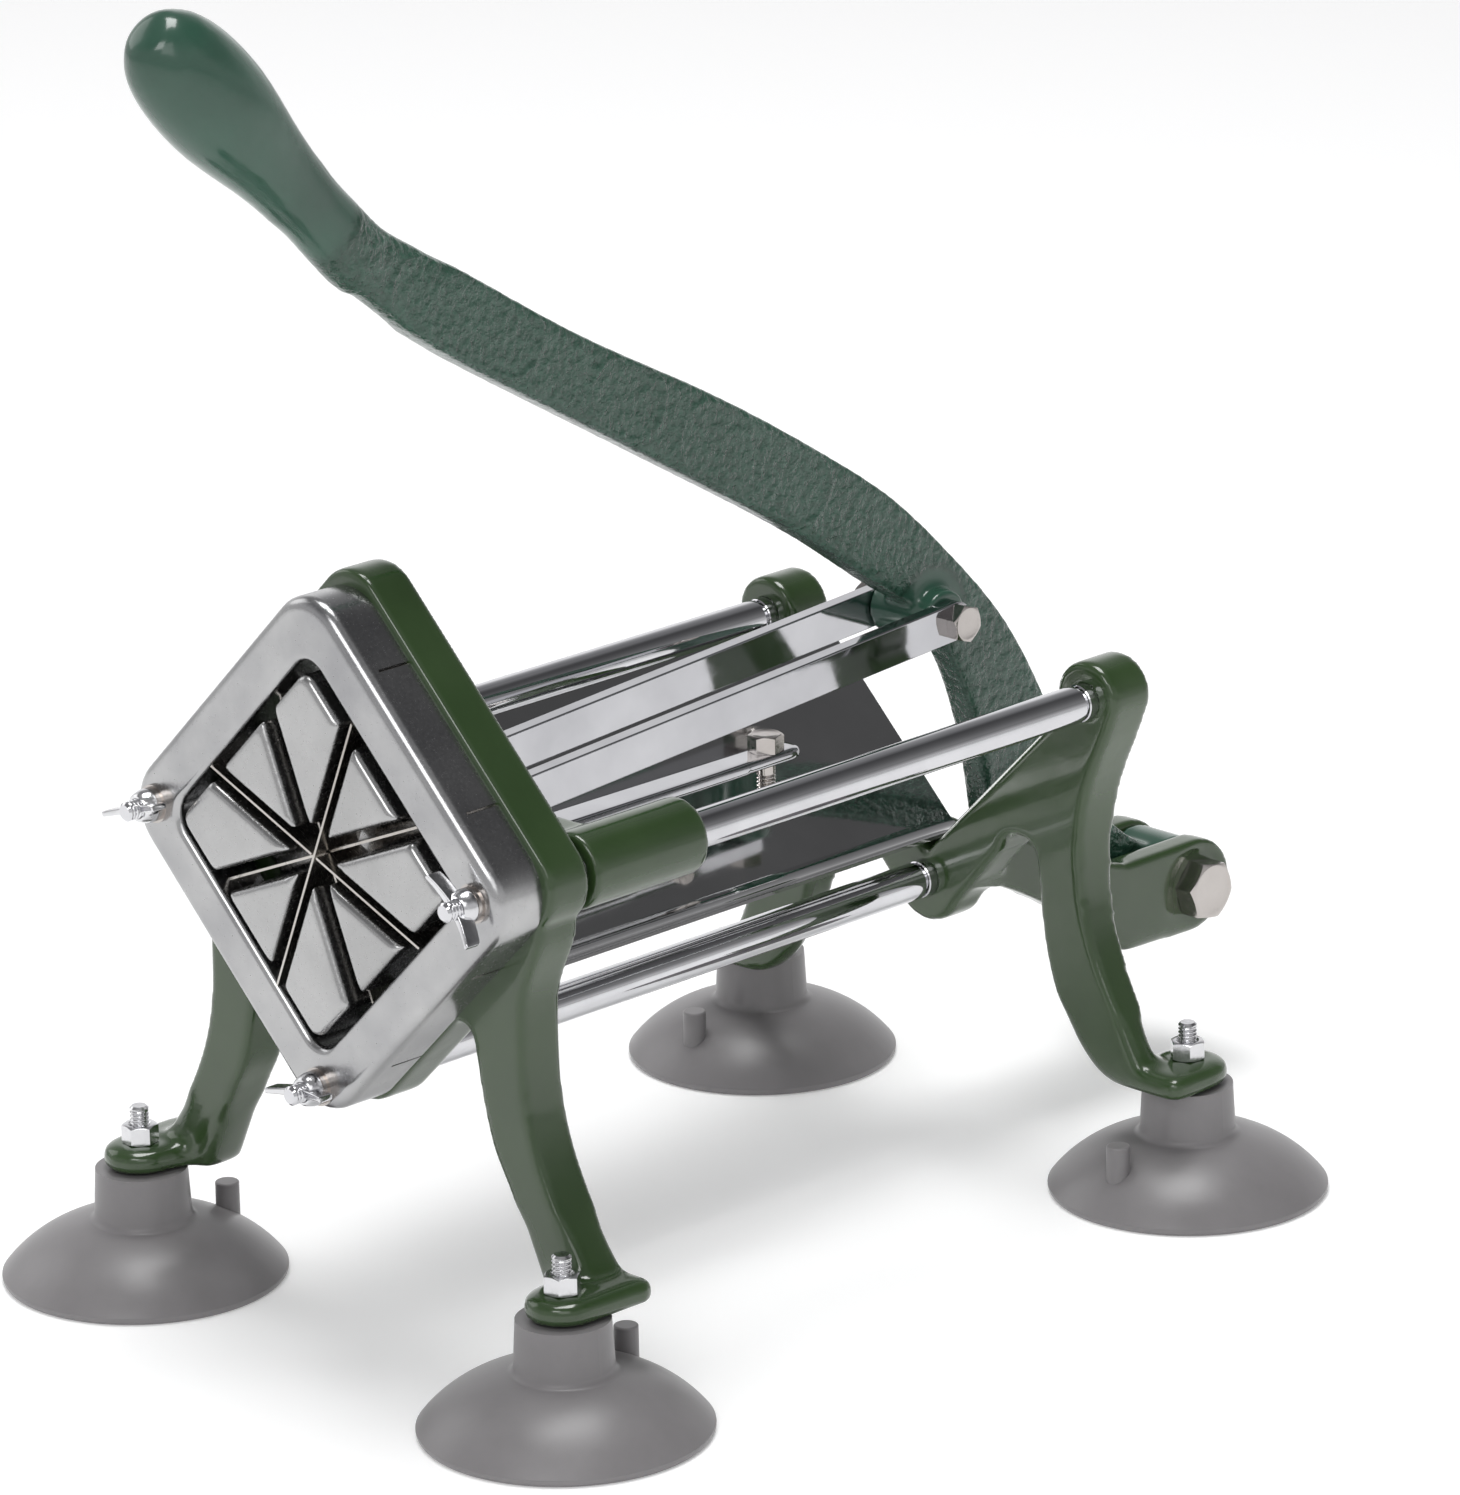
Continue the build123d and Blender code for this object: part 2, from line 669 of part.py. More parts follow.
# ---------------------------------------------------------------- lever and links
def lever():
    """Grip, bar and hook in one casting; the outline's points are measured from the pivot."""
    hub_top = (-lever_hub_end, lever_hub_half)
    hub_bottom = (-lever_hub_end, -lever_hub_half)
    upper = [
        (-344, 288.5),
        (-318.8, 273.5),
        (-287.1, 253.6),
        (-254.5, 234.1),
        (-221.2, 216.4),
        (-187.1, 197.3),
        (-152.3, 175.6),
        (-125.6, 156.9),
        (-107.4, 140.5),
        (-88.8, 121.8),
        (-79.4, 111.2),
        (-65.6, 91.2),
        (-57, 75.4),
        (-45, 50),
        (-27, 27),
        hub_top,
    ]
    lower = [
        hub_bottom,
        (-28, -7),
        (-49, 1.5),
        (-67, 11),
        (-79, 25),
        (-84, 45),
        (-89, 70.5),
        (-98.2, 95),
        (-114.9, 117.5),
        (-125.3, 124.6),
        (-156.4, 146.4),
        (-191.2, 168.4),
        (-225.3, 188.5),
        (-258.6, 208.1),
        (-291.1, 227.2),
        (-322.9, 247),
        (-346.2, 264.8),
        (-357, 274.5),
    ]
    hub_arc = ThreePointArc(hub_top, (lever_hub_half, 0), hub_bottom)
    face = outline(Spline(*upper), hub_arc, Spline(*lower), Line(lower[-1], upper[0]))
    body = side_slab(Pos(pivot_y, pivot_z) * face, lever_thickness)
    long_edges = body.faces().filter_by(Axis.X).edges().filter_by(GeomType.BSPLINE)
    body = fillet(long_edges, lever_edge_round)
    body += grip()
    body += rod_along_x(link_boss_radius, -lug_half_width, 2 * lug_half_width, lever_link_y, lever_link_z)
    body += rod_along_x(hub_radius, -hub_width / 2, hub_width, pivot_y, pivot_z)
    body -= rod_along_x(pivot_diameter / 2 + running_fit, -20, 40, pivot_y, pivot_z)
    body -= rod_along_x(link_pin_diameter / 2 + running_fit, -20, 40, lever_link_y, lever_link_z)
    return body


def grip():
    """Oval grip: a domed bulb that necks down and swells slightly where it meets the bar.

    Each station is a distance along the grip with half the height and half the width there.
    """
    centre = (pivot_y - grip_ahead, pivot_z + grip_rise)
    direction = (cos(radians(grip_slope)), -sin(radians(grip_slope)))
    stations = [
        (-33.0, 7.8, 7.0),
        (-28.0, 11.8, 10.8),
        (-20.0, 15.3, 13.8),
        (-10.0, 17.0, 15.2),
        (0.0, 17.3, 15.4),
        (12.0, 16.3, 14.4),
        (24.0, 14.3, 12.6),
        (38.0, 12.3, 10.6),
        (52.0, 11.6, 9.6),
        (66.0, 12.0, 9.2),
        (84.0, 11.6, 8.4),
    ]
    sections = []
    for along, height, width in stations:
        y = centre[0] + direction[0] * along
        z = centre[1] + direction[1] * along
        plane = Plane((0, y, z), x_dir=(1, 0, 0), z_dir=(0, direction[0], direction[1]))
        sections.append(plane * Ellipse(width, height))
    body = loft(sections)
    end = body.faces().sort_by(Axis.Y)[0].edges()
    return fillet(end, grip_end_round)


def link(side):
    """Flat bar with round ends from the lever to the ram."""
    mid_y = (lever_link_y + ram_link_y) / 2
    mid_z = (lever_link_z + ram_link_z) / 2
    face = Pos(mid_y, mid_z) * Rot(0, 0, degrees(link_slope)) * SlotCenterToCenter(link_length, link_height)
    x_mid = side * (link_inner_x + link_thickness / 2)
    body = side_slab(face, link_thickness, x_mid)
    long_edges = body.edges().group_by(SortBy.LENGTH)[-1]
    body = fillet(long_edges, 0.5)
    for y, z in ((lever_link_y, lever_link_z), (ram_link_y, ram_link_z)):
        body -= rod_along_x(link_pin_diameter / 2 + bolt_clearance, x_mid - 5, 10, y, z)
    return body


def hex_head_x(flats, height, x_seat, side, y, z, turn=0.0):
    """Hex head or nut on the plane x_seat, growing outward on the given side."""
    start = x_seat if side > 0 else x_seat - height
    sketch = Pos(y, z) * Rot(0, 0, turn) * hexagon(flats)
    body = extrude(Plane.YZ.offset(start) * sketch, amount=height)
    bar = rod_along_x(flats * hex_corner_reach, start, height, y, z)
    face = bar.faces().sort_by(Axis.X)[-1 if side > 0 else 0]
    return body & chamfer(face.edges(), hex_chamfer)


def link_bolt():
    seat = link_inner_x + link_thickness
    body = hex_head_x(link_hex_flats, link_head_height, seat, 1, lever_link_y, lever_link_z, 12)
    tail = link_nut_height + link_bolt_tail
    body += rod_along_x(link_pin_diameter / 2, -seat - tail, 2 * seat + tail, lever_link_y, lever_link_z)
    return body


def link_nut():
    seat = link_inner_x + link_thickness
    body = hex_head_x(link_hex_flats, link_nut_height, -seat, -1, lever_link_y, lever_link_z, 5)
    start = -seat - 2 * link_nut_height
    body -= rod_along_x(link_pin_diameter / 2, start, 2 * seat, lever_link_y, lever_link_z)
    return body


def link_front_screws():
    seat = link_inner_x + link_thickness
    screws = []
    for side in (-1, 1):
        place_on_link = (side * seat, side, ram_link_y, ram_link_z, 8)
        head = hex_head_x(link_hex_flats, link_head_height, *place_on_link)
        start = link_inner_x if side > 0 else -seat
        shank = rod_along_x(link_pin_diameter / 2, start, link_thickness, ram_link_y, ram_link_z)
        screws.append(head + shank)
    return Compound(children=screws)


def pivot_bolt():
    seat = ear_outer_x - ear_recess_depth
    body = hex_head_x(pivot_hex_flats, pivot_head_height, seat, 1, pivot_y, pivot_z, 20)
    tail = pivot_nut_height + pivot_bolt_tail
    body += rod_along_x(pivot_diameter / 2, -seat - tail, 2 * seat + tail, pivot_y, pivot_z)
    return body


def pivot_nut():
    seat = ear_outer_x - ear_recess_depth
    body = hex_head_x(pivot_hex_flats, pivot_nut_height, -seat, -1, pivot_y, pivot_z, 10)
    body -= rod_along_x(pivot_diameter / 2, -seat - 2 * pivot_nut_height, 2 * seat, pivot_y, pivot_z)
    return body


# ---------------------------------------------------------------- feet
def suction_cup(x, y, tab_angle):
    """Rubber cup turned about its stud, hollow below, with a pull tab standing on its skirt."""
    rim = cup_diameter / 2
    neck = neck_diameter / 2
    top = pad_bottom_z - floor
    neck_foot = (neck + neck_flare / 3, cup_height)
    lip_top = (rim, cup_lip)
    lip_foot = (rim - cup_lip / 2, 0)
    skin = outline(
        Line((0, top), (neck - 2 * neck_flare / 3, top)),
        Line((neck - 2 * neck_flare / 3, top), neck_foot),
        Spline(neck_foot, cup_shoulder, cup_flank, lip_top),
        ThreePointArc(lip_top, (rim - cup_lip / 8, cup_lip / 3), lip_foot),
        Line(lip_foot, (0, 0)),
        Line((0, 0), (0, top)),
    )
    mouth = rim - cup_wall
    roof = (0, cup_height - cup_wall - 1)
    under_flank = (cup_flank[0] - 1, cup_flank[1] - cup_wall)
    under_shoulder = (cup_shoulder[0] - 1.5, cup_shoulder[1] - cup_wall - 0.6)
    hollow = outline(
        Line((0, -1), (mouth, -1)),
        Line((mouth, -1), (mouth, 0)),
        Spline((mouth, 0), under_flank, under_shoulder, roof),
        Line(roof, (0, -1)),
    )
    body = revolve(Plane.XZ * skin, Axis.Z)
    circles = body.edges().filter_by(GeomType.CIRCLE)
    body = fillet(circles.filter_by_position(Axis.Z, cup_height - 0.1, cup_height + 0.1), neck_root_round)
    tab = Pos(0, 0, tab_top - tab_height / 2) * Cylinder(tab_diameter / 2, tab_height)
    tab = fillet(tab.faces().sort_by(Axis.Z)[-1].edges(), tab_end_round)
    inside = revolve(Plane.XZ * hollow, Axis.Z)
    body -= inside
    angle = radians(tab_angle)
    tab = Pos(tab_ring_radius * cos(angle), tab_ring_radius * sin(angle), 0) * tab
    body += tab - Pos(0, 0, cup_wall / 3) * inside
    body -= Pos(0, 0, top - foot_stud_embedded / 2) * Cylinder(foot_stud_diameter / 2, foot_stud_embedded)
    return Pos(x, y, floor) * body


def foot_stud(x, y):
    length = foot_stud_embedded + pad_thickness + foot_stud_above_pad
    body = Cylinder(foot_stud_diameter / 2, length)
    body = chamfer(body.faces().sort_by(Axis.Z)[-1].edges(), 0.8)
    return Pos(x, y, pad_bottom_z - foot_stud_embedded + length / 2) * body


def foot_nut(x, y, turn):
    sketch = Rot(0, 0, turn) * hexagon(foot_nut_flats)
    body = extrude(Plane.XY * sketch, amount=foot_nut_height)
    cone = Pos(0, 0, foot_nut_height / 2) * Cylinder(foot_nut_flats * 0.56, foot_nut_height)
    body &= chamfer(cone.edges().filter_by(GeomType.CIRCLE), 0.7)
    body -= Pos(0, 0, foot_nut_height / 2) * Cylinder(foot_stud_diameter / 2, 2 * foot_nut_height)
    return Pos(x, y, pad_top_z) * body


# ---------------------------------------------------------------- build
def build():
    keep("front_frame", front_frame())
    keep("rear_frame", rear_frame())
    for name, (x, z) in rod_places.items():
        keep("guide_rod_" + name, guide_rod(x, z))
    keep("guide_plate", guide_plate())
    keep("blade_holder", blade_holder())
    for index in range(blade_count):
        keep("blade_%d" % (index + 1), blade(index))
    keep("stud_washers", stud_washers())
    keep("spring_washers", spring_washers())
    wing_turn = {"left": -16.0, "right": 49.0, "bottom": -6.5}
    for name, (x, z) in rod_places.items():
        keep("wing_nut_" + name, wing_nut(x, z, wing_turn[name]))
    keep("pusher_head", pusher_head())
    keep("head_screws", head_screws())
    keep("ram", ram())
    keep("ram_pin", ram_pin())
    keep("stop_bolt", stop_bolt())
    keep("lever", lever())
    keep("link_left", link(-1))
    keep("link_right", link(1))
    keep("link_bolt", link_bolt())
    keep("link_nut", link_nut())
    keep("link_front_screws", link_front_screws())
    keep("pivot_bolt", pivot_bolt())
    keep("pivot_nut", pivot_nut())
    for name, (x, y, tab_angle) in foot_places.items():
        keep("suction_cup_" + name, suction_cup(x, y, tab_angle))
    keep("foot_studs", Compound(children=[foot_stud(x, y) for x, y, _ in foot_places.values()]))
    turns = [20, 35, 10, 50]
    nuts = [foot_nut(x, y, turn) for (x, y, _), turn in zip(foot_places.values(), turns)]
    keep("foot_nuts", Compound(children=nuts))


build()
os.makedirs("parts", exist_ok=True)
for node_name, node_shape in nodes.items():
    export_step(node_shape, "parts/%s.step" % node_name)
box = Compound(children=list(nodes.values())).bounding_box()
print("size", box.size)
print("min", box.min, "max", box.max)
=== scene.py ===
"""French fry cutter: looks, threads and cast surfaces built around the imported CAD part."""
import json
from math import atan2, cos, pi, radians, sin, tan

import bpy
import numpy as np
from mathutils import Matrix, Vector
from mathutils.noise import fractal


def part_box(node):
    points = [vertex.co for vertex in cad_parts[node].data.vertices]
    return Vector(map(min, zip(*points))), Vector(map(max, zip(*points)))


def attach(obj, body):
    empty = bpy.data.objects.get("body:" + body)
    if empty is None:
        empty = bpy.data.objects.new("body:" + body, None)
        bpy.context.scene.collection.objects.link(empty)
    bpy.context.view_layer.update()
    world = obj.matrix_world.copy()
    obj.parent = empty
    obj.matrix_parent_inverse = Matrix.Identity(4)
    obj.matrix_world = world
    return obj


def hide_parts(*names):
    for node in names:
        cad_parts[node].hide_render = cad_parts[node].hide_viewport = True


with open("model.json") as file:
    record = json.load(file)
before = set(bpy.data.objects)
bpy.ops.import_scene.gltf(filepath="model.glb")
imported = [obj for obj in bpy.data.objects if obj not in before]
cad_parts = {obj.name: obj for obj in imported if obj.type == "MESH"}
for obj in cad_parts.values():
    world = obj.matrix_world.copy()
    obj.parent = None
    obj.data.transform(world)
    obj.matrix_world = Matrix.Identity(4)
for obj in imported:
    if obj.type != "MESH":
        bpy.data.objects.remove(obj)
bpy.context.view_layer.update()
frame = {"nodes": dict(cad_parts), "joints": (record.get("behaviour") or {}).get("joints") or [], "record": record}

nodes = frame["nodes"]
slot_of = {s["node"]: s["material_slot"] for s in frame["record"]["subparts"]}
joint_of = {j["name"]: j for j in frame["joints"]}
MM = 0.001

# ---------------------------------------------------------------- view
VIEW_AZIMUTH = radians(45.28)
VIEW_ELEVATION = radians(17.72)
VIEW_ROLL = radians(-1.1)
CAMERA_PLACE = Vector((1.7291, -1.7018, 0.9294))
CAMERA_LENS = 202.36
SENSOR_WIDTH = 36.0

# ---------------------------------------------------------------- materials


def shader(name):
    """A new material with a Principled shader: (material, its node tree, the shader)."""
    material = bpy.data.materials.new(name)
    material.use_nodes = True
    tree = material.node_tree
    return material, tree, tree.nodes["Principled BSDF"]


def add(tree, kind, inputs=None, **properties):
    """A node of that kind, with its properties and unlinked inputs set."""
    node = tree.nodes.new(kind)
    for key, value in properties.items():
        setattr(node, key, value)
    for key, value in (inputs or {}).items():
        node.inputs[key].default_value = value
    return node


def object_noise(tree, scale, detail=3.0, roughness=0.5, stretch=(1, 1, 1)):
    """Noise in the piece's own coordinates, so that it stays on the piece as it moves."""
    where = add(tree, "ShaderNodeTexCoord")
    mapping = add(tree, "ShaderNodeMapping")
    mapping.inputs["Scale"].default_value = stretch
    tree.links.new(where.outputs["Object"], mapping.inputs["Vector"])
    settings = {"Scale": scale, "Detail": detail, "Roughness": roughness}
    texture = add(tree, "ShaderNodeTexNoise", settings)
    tree.links.new(mapping.outputs["Vector"], texture.inputs["Vector"])
    return texture.outputs["Fac"]


def ramp(tree, factor, stops):
    """Colour ramp from (position, colour) stops."""
    node = add(tree, "ShaderNodeValToRGB")
    elements = node.color_ramp.elements
    while len(elements) < len(stops):
        elements.new(0.5)
    for element, (position, colour) in zip(elements, stops):
        element.position = position
        element.color = (*colour, 1.0)
    tree.links.new(factor, node.inputs["Fac"])
    return node.outputs["Color"]


def remap(tree, factor, low, high, start=0.3, end=0.7):
    """Stretches the middle of a noise to the range low to high."""
    limits = {"From Min": start, "From Max": end, "To Min": low, "To Max": high}
    node = add(tree, "ShaderNodeMapRange", limits)
    tree.links.new(factor, node.inputs["Value"])
    return node.outputs["Result"]


def combine(tree, operation, first, second):
    """Maths on two values or outputs."""
    node = add(tree, "ShaderNodeMath", operation=operation)
    for socket, value in zip(node.inputs, (first, second)):
        if isinstance(value, (int, float)):
            socket.default_value = value
        else:
            tree.links.new(value, socket)
    return node.outputs["Value"]


def bump(tree, principled, height, strength, distance):
    """Relief from a height, in metres of distance."""
    node = add(tree, "ShaderNodeBump", {"Strength": strength, "Distance": distance})
    tree.links.new(height, node.inputs["Height"])
    tree.links.new(node.outputs["Normal"], principled.inputs["Normal"])


PAINT_IOR = 1.52
PEBBLE = "pebble"


def gloss(tree, principled, coat, coat_roughness, smear_scale, rough):
    """Clear coat over paint whose roughness drifts between the two values of rough."""
    principled.inputs["IOR"].default_value = PAINT_IOR
    principled.inputs["Coat Weight"].default_value = coat
    principled.inputs["Coat Roughness"].default_value = coat_roughness
    smear = object_noise(tree, smear_scale)
    tree.links.new(remap(tree, smear, *rough), principled.inputs["Roughness"])


def enamel(name, dark, light, ripple):
    """Thick glossy paint over a casting: uneven depth of colour, runs, faint orange peel."""
    material, tree, principled = shader(name)
    cloud = object_noise(tree, scale=22.0, detail=4.0)
    colour = ramp(tree, cloud, [(0.30, dark), (0.70, light)])
    tree.links.new(colour, principled.inputs["Base Color"])
    gloss(tree, principled, coat=0.35, coat_roughness=0.05, smear_scale=45.0, rough=(0.10, 0.24))
    waves = object_noise(tree, scale=120.0, detail=1.0)
    peel = object_noise(tree, scale=700.0, detail=2.0)
    relief = combine(tree, "ADD", combine(tree, "MULTIPLY", peel, 0.12), waves)
    bump(tree, principled, relief, strength=0.5, distance=ripple)
    return material


def hammered_enamel(name, dark, light):
    """The lever's paint: as glossy, with fine pebbling where the PEBBLE attribute is set, and painted shade and
    highlight in its colour that follow the pebbles.
    """
    material, tree, principled = shader(name)
    rough = add(tree, "ShaderNodeAttribute", attribute_name=PEBBLE)
    fine = object_noise(tree, scale=480.0, detail=2.0, roughness=0.6)
    pebbles = combine(tree, "MULTIPLY", fine, rough.outputs["Fac"])
    cloud = combine(tree, "MULTIPLY", object_noise(tree, scale=30.0, detail=4.0), 0.5)
    shade = combine(tree, "ADD", cloud, pebbles)
    # On the bar the colour rises with the same pebble noise that drives the bump. This paints shade into the dents
    # and highlight onto the crowns, over random tone from the cloud.
    colour = ramp(tree, shade, [(0.15, light), (0.50, dark), (1.0, light)])
    tree.links.new(colour, principled.inputs["Base Color"])
    gloss(tree, principled, coat=0.2, coat_roughness=0.06, smear_scale=70.0, rough=(0.12, 0.24))
    bump(tree, principled, pebbles, strength=1.0, distance=0.0009)
    return material


def metal(name, dark, light, rough, grain, relief):
    """Bare or plated metal: colour and roughness drift, and the grain is relief metres deep."""
    material, tree, principled = shader(name)
    principled.inputs["Metallic"].default_value = 1.0
    cloud = object_noise(tree, scale=40.0, detail=5.0)
    colour = ramp(tree, cloud, [(0.28, dark), (0.72, light)])
    tree.links.new(colour, principled.inputs["Base Color"])
    tree.links.new(remap(tree, grain(tree), *rough), principled.inputs["Roughness"])
    bump(tree, principled, grain(tree), strength=0.3, distance=relief)
    return material


def machined(scale, stretch):
    """Grain of long fine scratches, for metal()."""
    return lambda tree: object_noise(tree, scale, detail=5.0, roughness=0.65, stretch=stretch)


def as_cast(scale):
    """Even grain, for metal()."""
    return lambda tree: object_noise(tree, scale, detail=4.0, roughness=0.55)


def moulded_rubber(name, dark, light):
    """Satin grey rubber with a fine mould grain and a little dust."""
    material, tree, principled = shader(name)
    cloud = object_noise(tree, scale=30.0, detail=5.0, roughness=0.6)
    colour = ramp(tree, cloud, [(0.3, dark), (0.7, light)])
    tree.links.new(colour, principled.inputs["Base Color"])
    grain = object_noise(tree, scale=1500.0, detail=2.0)
    dust = remap(tree, cloud, low=0.30, high=0.42)
    tree.links.new(dust, principled.inputs["Roughness"])
    principled.inputs["Specular IOR Level"].default_value = 0.5
    bump(tree, principled, grain, strength=0.25, distance=0.00005)
    return material


GREEN = enamel("green_enamel", (0.026, 0.052, 0.017), (0.036, 0.068, 0.024), ripple=0.00025)
LEVER = hammered_enamel("lever_enamel", (0.016, 0.048, 0.031), (0.034, 0.094, 0.064))
CAST = metal("cast_aluminium", (0.34, 0.34, 0.35), (0.49, 0.49, 0.49),
             rough=(0.20, 0.28), grain=as_cast(900.0), relief=0.00002)
HEAD = metal("head_aluminium", (0.37, 0.37, 0.37), (0.46, 0.46, 0.46),
             rough=(0.22, 0.29), grain=as_cast(600.0), relief=0.00001)
BLADE = metal("blade_steel", (0.40, 0.37, 0.34), (0.56, 0.54, 0.51),
              rough=(0.16, 0.30), grain=machined(400.0, (1, 9, 1)), relief=0.00001)
PLATE = metal("polished_plate", (0.56, 0.56, 0.56), (0.64, 0.64, 0.64),
              rough=(0.03, 0.10), grain=machined(160.0, (1, 0.06, 1)), relief=0.000004)
CHROME = metal("chrome_plate", (0.58, 0.58, 0.60), (0.68, 0.68, 0.70),
               rough=(0.02, 0.07), grain=as_cast(150.0), relief=0.000004)
# Darker copy of the chrome for the links and the tongue. Its lower colour is painted shade that dims their
# reflections of the bright floor.
SHADED_CHROME = metal("chrome_painted_shade", (0.44, 0.44, 0.46), (0.54, 0.54, 0.56),
                   rough=(0.03, 0.09), grain=as_cast(150.0), relief=0.000006)
NICKEL = metal("nickel_plate", (0.42, 0.39, 0.37), (0.53, 0.50, 0.48),
               rough=(0.10, 0.24), grain=as_cast(900.0), relief=0.00002)
ZINC = metal("zinc_plate", (0.58, 0.58, 0.60), (0.74, 0.74, 0.75),
             rough=(0.10, 0.26), grain=as_cast(700.0), relief=0.00002)
RUBBER = moulded_rubber("grey_rubber", (0.190, 0.182, 0.186), (0.224, 0.215, 0.220))
# The links take the darker chrome, whose colour carries painted shade.
NODE_MATERIALS = {"link_left": SHADED_CHROME, "link_right": SHADED_CHROME}
SLOT_MATERIALS = {
    "green_paint": GREEN,
    "lever_paint": LEVER,
    "cast_aluminium": CAST,
    "head_aluminium": HEAD,
    "blade_steel": BLADE,
    "stainless_plate": PLATE,
    "chrome": CHROME,
    "nickel": NICKEL,
    "rubber": RUBBER,
}


def dress_cad():
    """Every CAD node gets its own material, or its slot's."""
    for name, node in nodes.items():
        material = NODE_MATERIALS.get(name, SLOT_MATERIALS[slot_of[name]])
        for slot in node.material_slots:
            slot.material = material
        if not node.material_slots:
            node.data.materials.append(material)


# ---------------------------------------------------------------- mesh helpers
SHARP_ANGLE = radians(35)


def new_piece(name, vertices, faces, material, sharp):
    """An object with smooth faces and edges kept sharp above that angle."""
    mesh = bpy.data.meshes.new(name)
    mesh.from_pydata([tuple(v) for v in vertices], [], faces)
    mesh.materials.append(material)
    mesh.polygons.foreach_set("use_smooth", [True] * len(mesh.polygons))
    mesh.set_sharp_from_angle(angle=sharp)
    piece = bpy.data.objects.new(name, mesh)
    bpy.context.scene.collection.objects.link(piece)
    return piece


def stand_for(piece, body, slot, *replaced):
    """The piece rides on a body and stands for CAD nodes, which it hides. The slot is not used."""
    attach(piece, body)
    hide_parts(*replaced)


def facing(origin, direction, spin=0.0):
    """Placement whose Z axis points along direction from origin, turned about it by spin."""
    turn = Vector(direction).to_track_quat("Z", "Y").to_matrix().to_4x4()
    return Matrix.Translation(Vector(origin)) @ turn @ Matrix.Rotation(spin, 4, "Z")


def skin(count, segments, closed=False):
    """Faces between rings of vertices: closed back on the first ring, or capped at both ends."""
    faces = []
    for i in range(count if closed else count - 1):
        low = i * segments
        high = (i + 1) % count * segments
        for k in range(segments):
            right = (k + 1) % segments
            faces.append((low + k, low + right, high + right, high + k))
    if not closed:
        faces.append(tuple(reversed(range(segments))))
        faces.append(tuple(range((count - 1) * segments, count * segments)))
    return faces


def turned(rings, segments, closed=False):
    """Vertices and faces of a surface about Z. A ring gives (radius, height) at an angle."""
    angles = [2 * pi * k / segments for k in range(segments)]
    vertices = []
    for ring in rings:
        for angle in angles:
            radius, height = ring(angle)
            vertices.append(Vector((radius * cos(angle), radius * sin(angle), height)))
    return vertices, skin(len(rings), segments, closed)


def gather(name, solids, material, sharp=SHARP_ANGLE):
    """One piece from several (vertices, faces, placement) solids."""
    vertices = []
    faces = []
    for solid_vertices, solid_faces, placement in solids:
        offset = len(vertices)
        vertices += [placement @ v for v in solid_vertices]
        faces += [tuple(offset + k for k in face) for face in solid_faces]
    return new_piece(name, vertices, faces, material, sharp)


def flat_ring(radius, height):
    """Ring with one radius and one height all round."""
    return lambda angle: (radius, height)


# ---------------------------------------------------------------- threads and hex heads
# THREAD_DEPTH is a share of the pitch, HEAD_OVERLAP of a head's height and HEX_FACE,
# HEAD_CORE, DISH_DEPTH and COUNTERSINK of the width across flats. The other DISH values
# are shares of the face's radius.
THREAD_STEPS = 8
THREAD_DEPTH = 0.58
CREST_SHARE = 0.2
HEX_SLOPE = tan(radians(28))
HEX_FACE = 0.96
HEX_SEGMENTS = 72
HEAD_CORE = 0.2
HEAD_OVERLAP = 0.2
DISH_RIM = 0.93
DISH_EDGE = 0.86
DISH_MIDDLE = 0.3
DISH_DEPTH = 0.012
COUNTERSINK = 0.07


def thread_rings(start, end, radius, pitch):
    """Rings of a right-hand thread between two heights, fading out at both ends."""
    depth = THREAD_DEPTH * pitch
    count = int((end - start) / pitch * THREAD_STEPS)
    rings = []

    def ring_at(height):
        fade = min(1.0, (height - start) / pitch, (end - height) / pitch)

        def ring(angle):
            turn = (height / pitch - angle / (2 * pi)) % 1.0
            groove = max(0.0, 1.0 - CREST_SHARE - abs(2.0 * turn - 1.0)) / (1.0 - CREST_SHARE)
            return radius - depth * fade * groove, height

        return ring

    for k in range(count + 1):
        rings.append(ring_at(start + (end - start) * k / count))
    return rings


def hex_radius(angle, flats):
    """Distance from the axis to a hexagon's side at an angle."""
    sixth = pi / 3
    return flats / 2 / cos((angle + sixth / 2) % sixth - sixth / 2)


def hex_side(flats, height, top):
    """Ring where a hexagon's flats meet the turned cone of its top or bottom face."""

    def ring(angle):
        radius = hex_radius(angle, flats)
        drop = (radius - HEX_FACE * flats / 2) * HEX_SLOPE
        return radius, height - drop if top else drop

    return ring


def bolt_head(flats, height):
    """Hexagon head with a turned face, slightly dished in the middle."""
    face = HEX_FACE * flats / 2
    rings = [
        flat_ring(HEAD_CORE * flats, 0.0),
        lambda angle: (hex_radius(angle, flats), 0.0),
        hex_side(flats, height, True),
        flat_ring(face, height),
        flat_ring(face * DISH_RIM, height),
        flat_ring(face * DISH_EDGE, height - DISH_DEPTH * flats),
        flat_ring(face * DISH_MIDDLE, height - DISH_DEPTH * flats),
    ]
    return turned(rings, HEX_SEGMENTS)


def hex_nut(flats, height, bore):
    """Hexagon nut, turned on both faces, with a countersunk bore."""
    face = HEX_FACE * flats / 2
    sink = COUNTERSINK * flats
    rings = [
        flat_ring(bore, sink),
        flat_ring(bore + sink, 0.0),
        flat_ring(face, 0.0),
        hex_side(flats, height, False),
        hex_side(flats, height, True),
        flat_ring(face, height),
        flat_ring(bore + sink, height),
        flat_ring(bore, height - sink),
    ]
    return turned(rings, HEX_SEGMENTS, closed=True)


